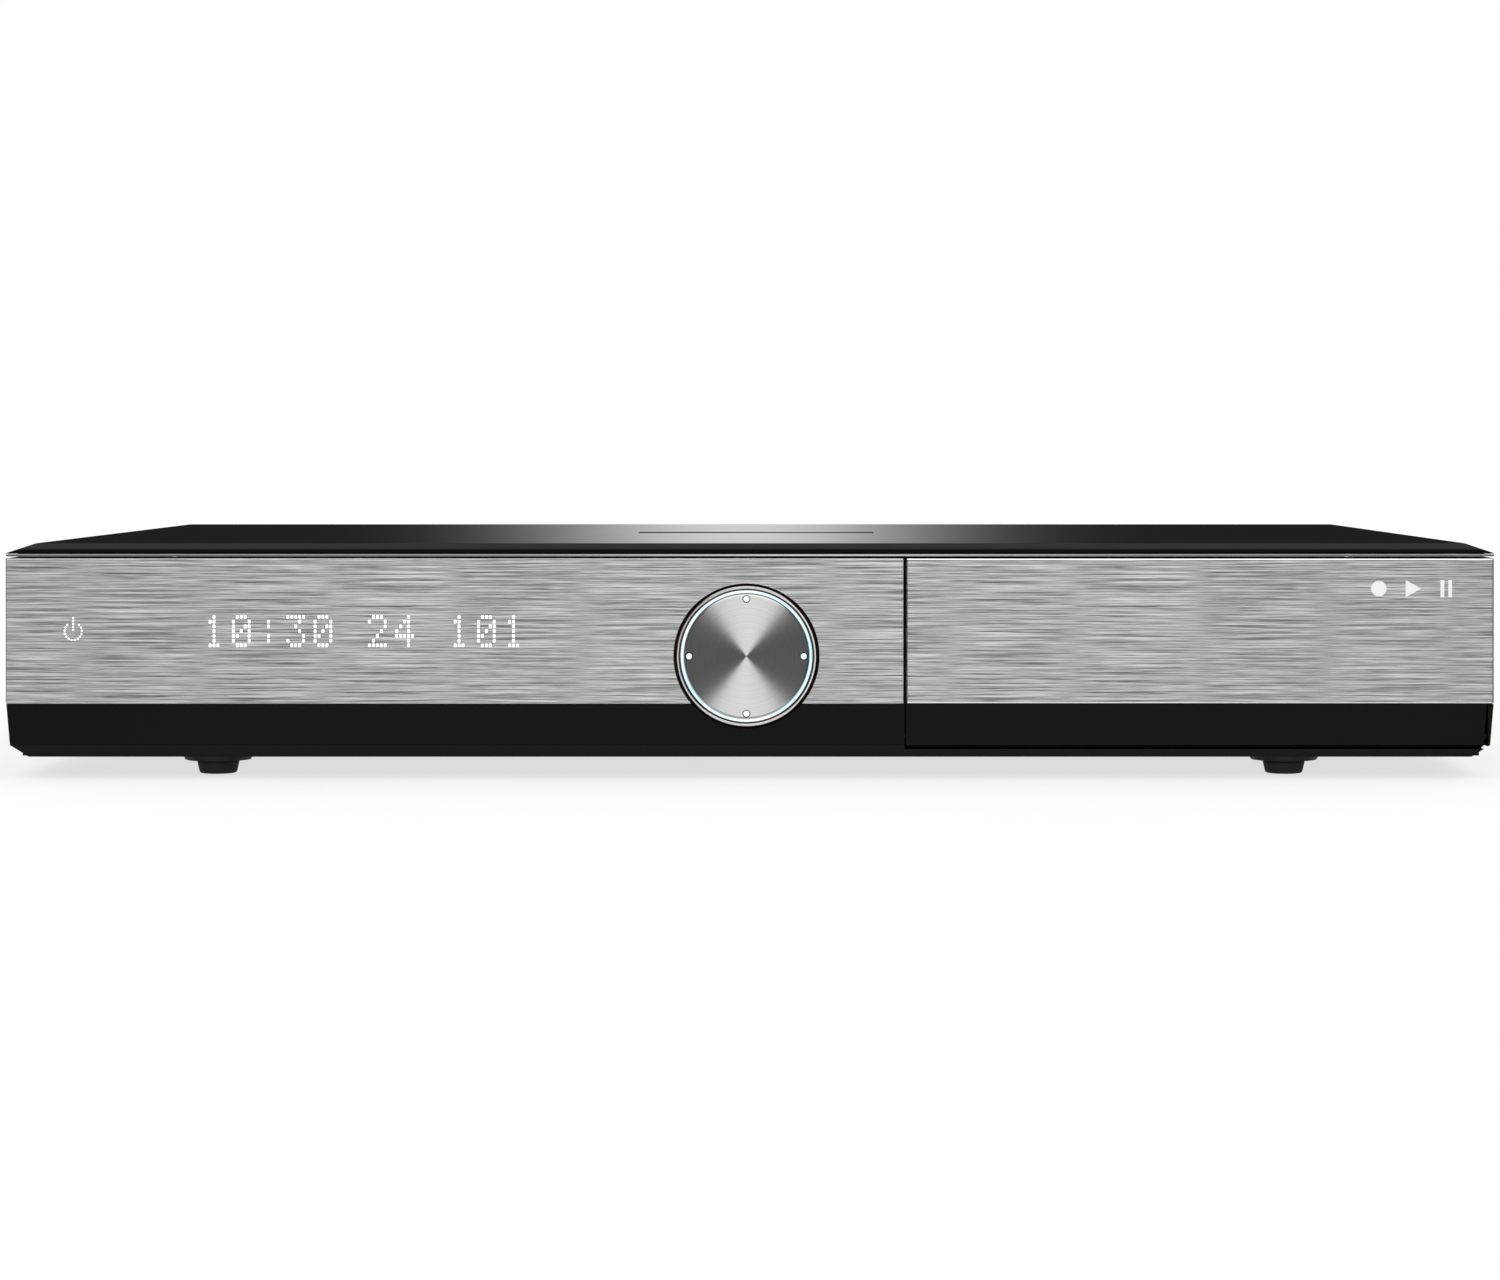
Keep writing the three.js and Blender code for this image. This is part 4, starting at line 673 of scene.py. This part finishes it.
@dataclass
class Dial:
    """The round navigation dial and its light.

    Attributes:
        rim: Rounding of the disc's rim.
        plated_rim: Rounding of the bright ring.
        seam_shade: Inner and outer radius of the black ring of painted shade that fills the seam
            between light and bright ring.
        seam_shade_front: The front of that painted shade, behind the light ring's face.
        seam_shade_deep: Its depth.
        seam_shade_ease: Width of the bevels on its front.
        lens_edge: Rounding of the lit markers.
        marker: Inner and outer radius of the black ring of painted shade round each lit marker,
            standing in for the shadow in its hole.
        marker_at: From the dial's middle to the markers' middles.
        shade_ring_proud: How far the rings of painted shade stand out of the dial's face.
    """

    rim: float = 0.3
    plated_rim: float = 0.22
    seam_shade: tuple[float, float] = (16.84, 17.11)
    seam_shade_front: float = 0.02
    seam_shade_deep: float = 1.2
    seam_shade_ease: float = 0.05
    lens_edge: float = 0.08
    marker: tuple[float, float] = (0.8, 1.0)
    marker_at: float = 14.6
    shade_ring_proud: float = 0.01

    def fill_seam_shade(self, shape: bmesh.types.BMesh) -> None:
        """Adds the black ring of painted shade that fills the seam between light and bright ring.

        Args:
            shape: The mesh to add to.
        """
        low, high = box_mm("light_ring")
        middle = (low + high) / 2
        inner, outer = self.seam_shade
        front = low.y + self.seam_shade_front
        ease, back = self.seam_shade_ease, front + self.seam_shade_deep
        add_turned(shape, [(inner, front + ease), (inner + ease, front), (outer - ease, front),
                           (outer, front + ease), (outer, back), (inner, back)],
                   middle.x, middle.z, 96)

    def fill_marker_shade(self, shape: bmesh.types.BMesh) -> None:
        """Adds black rings of painted shade round the four lit markers, where their holes would lie
        in shadow.

        Args:
            shape: The mesh to add to.
        """
        low, high = box_mm("nav_disc")
        middle = (low + high) / 2
        inner, outer = self.marker
        front = low.y - self.shade_ring_proud
        back = low.y + EMBED
        for turn in range(4):
            angle = turn * math.pi / 2
            add_turned(shape, [(inner, front), (outer, front), (outer, back), (inner, back)],
                       middle.x + self.marker_at * math.cos(angle),
                       middle.z + self.marker_at * math.sin(angle), 24)

    def build(self) -> None:
        """Dresses the dial, from its face to its switches."""
        # Black rings that paint the shadow in the markers' holes.
        place_piece("marker_shade_rings", mesh_from("marker_shade_rings", self.fill_marker_shade), BLACK_ANODISED,
                    body_of_node("nav_disc"), Vector())
        # A black ring fills the seam and paints the shade of the gap.
        place_piece("dial_seam_shade", mesh_from("dial_seam_shade", self.fill_seam_shade), RUBBER, "case",
                    Vector())
        dress("nav_disc", SPUN_ALUMINIUM, self.rim)
        dress("nav_ring", CHROME_PLATE, self.plated_rim)
        dress("light_ring", LIGHT_GUIDE, self.plated_rim)
        dress("nav_lens", LIGHT_GUIDE, self.lens_edge, 2)
        dress("nav_gimbal", BLACK_ABS)
        dress("nav_carrier", BLACK_NYLON)
        for side in ("up", "right", "down", "left"):
            dress(f"nav_switch_{side}", BLACK_NYLON)


# Dots of each character, row by row from the top.
GLYPHS = {
    "0": "01110 10001 10011 10101 11001 10001 01110",
    "1": "00100 01100 00100 00100 00100 00100 01110",
    "2": "01110 10001 00001 00010 00100 01000 11111",
    "3": "11111 00010 00100 00010 00001 10001 01110",
    "4": "00010 00110 01010 10010 11111 00010 00010",
    ":": "00000 00100 00100 00000 00100 00100 00000",
}

# Corners of a dot with cut corners, as shares of its half width and half height.
DOT_CORNERS = ((1, 0.8), (0.8, 1), (-0.8, 1), (-1, 0.8),
               (-1, -0.8), (-0.8, -1), (0.8, -1), (1, -0.8))


@dataclass
class Readout:
    """Pinholes lit from behind: a clock and a channel number, and the standby symbol.

    Attributes:
        words: What the readout shows.
        pitch: From one character to the next.
        across: From one dot's column to the next.
        down: From one dot's row to the next.
        dot: Width and height of one dot.
        left: The first column's x, from the case's left end.
        top: The top row's z, from the plate's top edge.
        proud: How far the lit dots stand out of the plate.
        dome: How far their rims stand back from their middles.
        standby: The standby symbol's x from the left end and z from the plate's top.
        standby_radius: Radius of its broken ring.
        standby_dot: Radius of each of its pinholes.
        standby_steps: Places round the ring, of which the top three stay empty.
        standby_bar: Pinholes in the upright, its lowest one's height and their pitch.
    """

    words: str = "10:30 24 101"
    pitch: float = 6.94
    across: float = 1.0
    down: float = 1.21
    dot: tuple[float, float] = (0.62, 0.82)
    left: float = 51.4
    top: float = 14.9
    proud: float = 0.03
    dome: float = 0.01
    standby: tuple[float, float] = (17.5, 18.6)
    standby_radius: float = 2.2
    standby_dot: float = 0.24
    standby_steps: int = 17
    standby_bar: tuple[int, float, float] = (5, 0.4, 0.75)

    def dots(self) -> list[tuple[float, float]]:
        """Lists the readout's lit dots.

        Returns:
            The x and z of each dot's middle.
        """
        left = CAD_BOX[0].x * 1000 + self.left
        top = box_mm("fascia_plate")[1].z - self.top
        found = []
        for place, letter in enumerate(self.words):
            for row, bits in enumerate(GLYPHS.get(letter, "").split()):
                for column, bit in enumerate(bits):
                    if bit == "1":
                        found.append((left + place * self.pitch + column * self.across,
                                      top - row * self.down))
        return found

    def fill_readout(self, shape: bmesh.types.BMesh) -> None:
        """Adds the readout's dots.

        Args:
            shape: The mesh to add to.
        """
        front = box_mm("fascia_plate")[0].y - self.proud
        wide, high = self.dot[0] / 2, self.dot[1] / 2
        for x, z in self.dots():
            corners = [(x + wide * across, z + high * up) for across, up in DOT_CORNERS]
            add_tile(shape, corners, front, self.proud + EMBED, self.dome)

    def fill_standby(self, shape: bmesh.types.BMesh) -> None:
        """Adds the standby symbol's dots.

        Args:
            shape: The mesh to add to.
        """
        plate_low, plate_high = box_mm("fascia_plate")
        x, z = CAD_BOX[0].x * 1000 + self.standby[0], plate_high.z - self.standby[1]
        places = []
        for step in range(2, self.standby_steps - 1):
            angle = math.pi / 2 + math.tau * step / self.standby_steps
            places.append((x + self.standby_radius * math.cos(angle),
                           z + self.standby_radius * math.sin(angle)))
        count, lowest, pitch = self.standby_bar
        places += [(x, z + lowest + step * pitch) for step in range(count)]
        for place in places:
            add_tile(shape, circle(*place, self.standby_dot, 10), plate_low.y - self.proud,
                     self.proud + EMBED, self.dome)

    def build(self) -> None:
        """Lights the readout and dresses the display behind it."""
        for name, fill in (("readout_dots", self.fill_readout),
                           ("standby_dots", self.fill_standby)):
            place_piece(name, mesh_from(name, fill), LIT_DOT, "case", Vector())
        dress("display_module", SMOKED_GLASS)
        dress("front_board", GREEN_BOARD)
        dress("ribbon_cable", GREY_RIBBON)


@dataclass
class RearSockets:
    """Everything that a plug meets at the back.

    Attributes:
        edge: Rounding of the sockets' edges.
        shell_edge: Rounding of the thin socket shell.
        rocker_edge: Rounding of the mains rocker.
        phono_reach: From the middle of the four phono sockets to each of them, across and up.
        collar: Inner and outer radius of their collars.
        collar_ends: The collars' ends, from the rear panel's outside.
        collar_ease: Across and along the bevel at a collar's end.
        aerial_reach: From the tuner's middle to each aerial socket.
        aerial_up: The aerial sockets' height above the tuner's underside.
        ridges: Ridges of an aerial socket's thread.
        pitch: From one ridge to the next.
        thread: Bore, root, flank and crest radius of the thread.
        ridge_places: Where crest, crest's end and flank lie, as shares of the pitch.
        thread_end: From the last ridge to the socket's end.
    """

    edge: float = 0.12
    shell_edge: float = 0.05
    rocker_edge: float = 0.3
    phono_reach: float = 6.0
    collar: tuple[float, float] = (4.35, 5.1)
    collar_ends: tuple[float, float] = (0.15, 2.6)
    collar_ease: tuple[float, float] = (0.3, 0.4)
    aerial_reach: float = 8.0
    aerial_up: float = 11.0
    ridges: int = 9
    pitch: float = 0.75
    thread: tuple[float, float, float, float] = (4.5, 4.72, 4.74, 5.0)
    ridge_places: tuple[float, float, float] = (0.35, 0.5, 0.95)
    thread_end: float = 0.5

    def build(self) -> None:
        """Dresses the sockets and adds their collars and threads."""
        dress("tuner_can", NICKEL_PLATE, self.edge, 2)
        dress("rca_jacks", BLACK_NYLON, self.edge, 2)
        dress("optical_socket", BLACK_NYLON, self.edge, 2)
        dress("scart_socket", BLACK_NYLON, self.edge, 2)
        dress("hdmi_socket", NICKEL_PLATE, self.shell_edge, 2)
        dress("lan_usb_socket", NICKEL_PLATE, self.edge, 2)
        dress("ac_inlet", BLACK_NYLON, self.edge, 2)
        dress("power_switch_body", BLACK_NYLON, self.edge, 2)
        dress("power_switch_rocker", BLACK_ABS, self.rocker_edge)
        dress("ac_lead", WHITE_JACKET)
        self.add_collars()
        self.add_threads()

    def add_collars(self) -> None:
        """Adds the coloured collars round the phono sockets."""
        low, high = box_mm("rca_jacks")
        middle = (low + high) / 2
        panel = box_mm("rear_panel")[1].y
        colours = {(-1, 1): YELLOW_COLLAR, (1, 1): WHITE_COLLAR, (-1, -1): WHITE_COLLAR,
                   (1, -1): RED_COLLAR}
        inner, outer = self.collar
        start, end = (panel + place for place in self.collar_ends)
        profile = [(inner, start), (outer, start), (outer, end - self.collar_ease[1]),
                   (outer - self.collar_ease[0], end), (inner, end)]
        for (side, level), finish in colours.items():
            x, z = middle.x + side * self.phono_reach, middle.z + level * self.phono_reach
            across, up = "left" if side < 0 else "right", "top" if level > 0 else "bottom"
            name = f"phono_collar_{across}_{up}"
            mesh = mesh_from(name, lambda shape: add_turned(shape, profile, x, z))
            place_piece(name, mesh, finish, "case", Vector())

    def add_threads(self) -> None:
        """Adds the screw threads of the two aerial sockets."""
        low, high = box_mm("tuner_can")
        middle_x = (low.x + high.x) / 2
        bore, root, flank, crest = self.thread
        end = high.y - self.thread_end
        start = end - self.ridges * self.pitch
        profile = [(root, start)]
        for ridge in range(self.ridges):
            rise, fall, foot = (start + (ridge + share) * self.pitch for share in self.ridge_places)
            profile += [(crest, rise), (crest, fall), (flank, foot)]
        profile += [(root, end), (bore, end), (bore, start)]
        for side, name in ((-1, "aerial_thread_left"), (1, "aerial_thread_right")):
            x, z = middle_x + side * self.aerial_reach, low.z + self.aerial_up
            mesh = mesh_from(name, lambda shape: add_turned(shape, profile, x, z, 40))
            place_piece(name, mesh, NICKEL_PLATE, "case", Vector())


@dataclass
class Insides:
    """Boards, power supply, disk drive and fan.

    Attributes:
        finishes: What each of the inner nodes is made of.
    """

    finishes: dict[str, Finish] = field(default_factory=lambda: {
        "psu_board": BROWN_BOARD, "psu_transformer": WINDING_TAPE, "psu_capacitor": SHRINK_SLEEVE,
        "psu_harness": WHITE_JACKET, "main_board": GREEN_BOARD, "heatsink": BLACK_ANODISED,
        "drive_bracket": ZINC_STEEL, "drive_base": CAST_ALUMINIUM, "drive_lid": ZINC_STEEL,
        "drive_platters": DISK_MIRROR, "drive_actuator": CAST_ALUMINIUM, "sata_cable": RED_JACKET,
        "fan_frame": BLACK_NYLON, "fan_rotor": BLACK_ABS,
    })

    def build(self) -> None:
        """Dresses everything that the case holds."""
        for node, finish in self.finishes.items():
            dress(node, finish)


# ---------- studio
@dataclass
class Studio:
    """Camera, soft light and a pale floor.

    Attributes:
        distance: From the front plates to the lens.
        right: How far the lens stands right of the middle.
        height: The lens' height.
        focal: Focal length for a 36 mm sensor.
        shift: Sideways and upright shift, as shares of the frame's width.
        lobe_turn: Direction of the bright card behind, in degrees.
        lobe_width: Spread of its light, in degrees.
        card: Its brightness.
        fan: Where the strip in front starts and ends to fade, as sines from upright.
        bright: Brightness of that strip.
        dark: Brightness beside it.
        shade: Height, up and down, and half the breadth of the shades, as sines.
        shaded: Share of the strip's light that the shades let through.
        shade_core: Share of the shades' breadth that is fully shaded.
        table: Share of the floor's white that is its own light.
        turn: How far forward and back, as a sine, front and back lights blend.
        under: Where the strip ends below, as sines downwards.
        under_share: Share of its light left beneath.
        card_top: Where the card starts and ends to fade, as sines upwards.
        wall: Height, from 0 straight down to 1 straight up, and brightness behind.
        floor_reach: Half the floor's width.
        floor_colour: The floor's hex colour.
    """

    distance: float = 945.0
    right: float = 13.0
    height: float = 84.1
    focal: float = 88.99
    shift: tuple[float, float] = (-0.034, -0.1271)
    lobe_turn: float = -0.95
    lobe_width: float = 1.83
    card: float = 0.66
    fan: tuple[float, float] = (0.5, 0.72)
    bright: float = 2.0
    dark: float = 0.03
    shade: tuple[float, float] = (0.25, 0.19)
    shaded: float = 0.2
    shade_core: float = 0.6
    table: float = 0.7
    turn: float = 0.06
    under: tuple[float, float] = (-0.85, -0.6)
    under_share: float = 0.12
    card_top: tuple[float, float] = (0.1, 0.22)
    wall: tuple[tuple[float, float], ...] = (
        (0.0, 0.04), (0.15, 0.5), (0.47, 0.5), (0.497, 0.014), (0.58, 0.02), (0.66, 0.1),
        (0.76, 0.012), (0.95, 0.03), (0.985, 1.0))
    floor_reach: float = 6000.0
    floor_colour: str = "959595"

    def camera(self) -> None:
        """Sets the level camera in front of the recorder."""
        data = bpy.data.cameras.new("camera")
        data.lens = self.focal
        data.sensor_width = 36.0
        data.shift_x, data.shift_y = self.shift
        data.clip_start, data.clip_end = 0.01, 50.0
        camera = bpy.data.objects.new("camera", data)
        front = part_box("fascia_plate")[0].y
        camera.location = (mm(self.right), front - mm(self.distance), mm(self.height))
        camera.rotation_euler = (math.pi / 2, 0.0, 0.0)
        bpy.context.scene.collection.objects.link(camera)
        bpy.context.scene.camera = camera

    def world(self) -> None:
        """Wraps the scene in white, with a darker studio for what mirrors see."""
        world = bpy.data.worlds.new("studio")
        bpy.context.scene.world = world
        world.use_nodes = True
        tree = world.node_tree
        tree.nodes.clear()
        way = add_node(tree, "ShaderNodeTexCoord").outputs["Generated"]
        part = add_node(tree, "ShaderNodeSeparateXYZ", {}, {0: way})
        mirror = add_node(tree, "ShaderNodeMapRange",
                          {"From Min": self.turn, "From Max": -self.turn},
                          {"Value": part.outputs["Y"], "To Min": self.behind(tree, part),
                           "To Max": self.ahead(tree, part)})
        path = add_node(tree, "ShaderNodeLightPath")
        seen = add_node(tree, "ShaderNodeMix", {"data_type": "FLOAT", 2: 1.0},
                        {0: path.outputs["Is Glossy Ray"], 3: mirror.outputs["Result"]})
        light = add_node(tree, "ShaderNodeBackground", {"Color": (1, 1, 1, 1)},
                         {"Strength": seen.outputs[0]})
        add_node(tree, "ShaderNodeOutputWorld", {}, {"Surface": light.outputs[0]})

    def ahead(self, tree: bpy.types.NodeTree, part: bpy.types.Node) -> bpy.types.NodeSocket:
        """Lights the space in front: a tall bright strip, dark to either side.

        Args:
            tree: The world's node tree.
            part: The node that gives the direction's parts.

        Returns:
            The brightness.
        """
        flat = add_node(tree, "ShaderNodeCombineXYZ", {},
                        {0: part.outputs["X"], 1: part.outputs["Z"]})
        way = add_node(tree, "ShaderNodeVectorMath", {"operation": "NORMALIZE"},
                       {0: flat.outputs["Vector"]})
        turn = add_node(tree, "ShaderNodeSeparateXYZ", {}, {0: way.outputs["Vector"]})
        side = add_node(tree, "ShaderNodeMath", {"operation": "ABSOLUTE"}, {0: turn.outputs["X"]})
        fan = add_node(tree, "ShaderNodeMapRange",
                       {"interpolation_type": "SMOOTHSTEP", "From Min": self.fan[0],
                        "From Max": self.fan[1], "To Min": self.bright, "To Max": self.dark},
                       {"Value": side.outputs[0]})
        under = add_node(tree, "ShaderNodeMapRange",
                         {"From Min": self.under[0], "From Max": self.under[1],
                          "To Min": self.under_share}, {"Value": part.outputs["Z"]})
        light = add_node(tree, "ShaderNodeMath", {"operation": "MULTIPLY"},
                         {0: fan.outputs["Result"], 1: under.outputs["Result"]})
        tilt = add_node(tree, "ShaderNodeMath", {"operation": "ABSOLUTE"}, {0: part.outputs["Z"]})
        above = add_node(tree, "ShaderNodeMath", {"operation": "SUBTRACT", 1: self.shade[0]},
                         {0: tilt.outputs[0]})
        off = add_node(tree, "ShaderNodeMath", {"operation": "ABSOLUTE"}, {0: above.outputs[0]})
        shade = add_node(tree, "ShaderNodeMapRange",
                         {"From Min": self.shade[1] * self.shade_core, "From Max": self.shade[1],
                          "To Min": self.shaded}, {"Value": off.outputs[0]})
        shaded = add_node(tree, "ShaderNodeMath", {"operation": "MULTIPLY"},
                          {0: light.outputs[0], 1: shade.outputs["Result"]})
        return shaded.outputs[0]

    def behind(self, tree: bpy.types.NodeTree, part: bpy.types.Node) -> bpy.types.NodeSocket:
        """Lights the space behind: dark, with one bright card low down in the middle.

        Args:
            tree: The world's node tree.
            part: The node that gives the direction's parts.

        Returns:
            The brightness.
        """
        turn = add_node(tree, "ShaderNodeMath", {"operation": "ARCTAN2"},
                        {0: part.outputs["X"], 1: part.outputs["Y"]})
        off = add_node(tree, "ShaderNodeMath",
                       {"operation": "SUBTRACT", 1: math.radians(self.lobe_turn)},
                       {0: turn.outputs[0]})
        spread = add_node(tree, "ShaderNodeMath",
                          {"operation": "DIVIDE", 1: math.radians(self.lobe_width)},
                          {0: off.outputs[0]})
        square = add_node(tree, "ShaderNodeMath", {"operation": "MULTIPLY"},
                          {0: spread.outputs[0], 1: spread.outputs[0]})
        fall = add_node(tree, "ShaderNodeMath", {"operation": "MULTIPLY", 1: -0.5},
                        {0: square.outputs[0]})
        lobe = add_node(tree, "ShaderNodeMath", {"operation": "EXPONENT"}, {0: fall.outputs[0]})
        low = add_node(tree, "ShaderNodeMapRange",
                       {"From Min": self.card_top[0], "From Max": self.card_top[1],
                        "To Min": self.card, "To Max": 0.0}, {"Value": part.outputs["Z"]})
        card = add_node(tree, "ShaderNodeMath", {"operation": "MULTIPLY"},
                        {0: lobe.outputs[0], 1: low.outputs["Result"]})
        height = add_node(tree, "ShaderNodeMapRange", {"From Min": -1.0, "From Max": 1.0},
                          {"Value": part.outputs["Z"]})
        wall = add_node(tree, "ShaderNodeValToRGB", {}, {0: height.outputs["Result"]})
        self.ramp(wall, self.wall)
        light = add_node(tree, "ShaderNodeMath", {"operation": "ADD"},
                         {0: card.outputs[0], 1: wall.outputs["Color"]})
        return light.outputs[0]

    @staticmethod
    def ramp(node: bpy.types.Node, stops: Sequence[tuple[float, float]]) -> None:
        """Sets a colour ramp's stops to greys.

        Args:
            node: The ramp node.
            stops: Position and brightness of each stop.
        """
        elements = node.color_ramp.elements
        while len(elements) < len(stops):
            elements.new(0.5)
        for element, (place, value) in zip(elements, stops):
            element.position = place
            element.color = (value, value, value, 1.0)

    def floor(self) -> None:
        """Lays the pale floor that the feet stand on."""
        def fill(shape: bmesh.types.BMesh) -> None:
            """Adds the floor's one face."""
            bmesh.ops.create_grid(shape, x_segments=1, y_segments=1, size=self.floor_reach)
        floor = bpy.data.objects.new("floor", mesh_from("floor", fill))
        bpy.context.scene.collection.objects.link(floor)
        board = Finish("floor_pale_board", self.floor_colour, "979797", 0.95,
                       pattern=Pattern.RIPPLE, grain=60.0, relief=0.0,
                       glow=self.table / linear(self.floor_colour)[0])
        floor.data.materials.append(board.material())
        floor.visible_glossy = False

    def build(self) -> None:
        """Sets up the studio."""
        bpy.context.scene.view_settings.view_transform = "Standard"
        self.camera()
        self.world()
        self.floor()


def main() -> None:
    """Builds the recorder's looks in order."""
    logging.basicConfig(level=logging.INFO, format="%(message)s", stream=sys.stdout)
    for part in (Studio(), CaseShell(), FrontPanel(), Flap(), Dial(), Readout(), RearSockets(),
                 Insides()):
        log.info("-- %s", type(part).__name__)
        part.build()


if __name__ == "__main__":
    main()
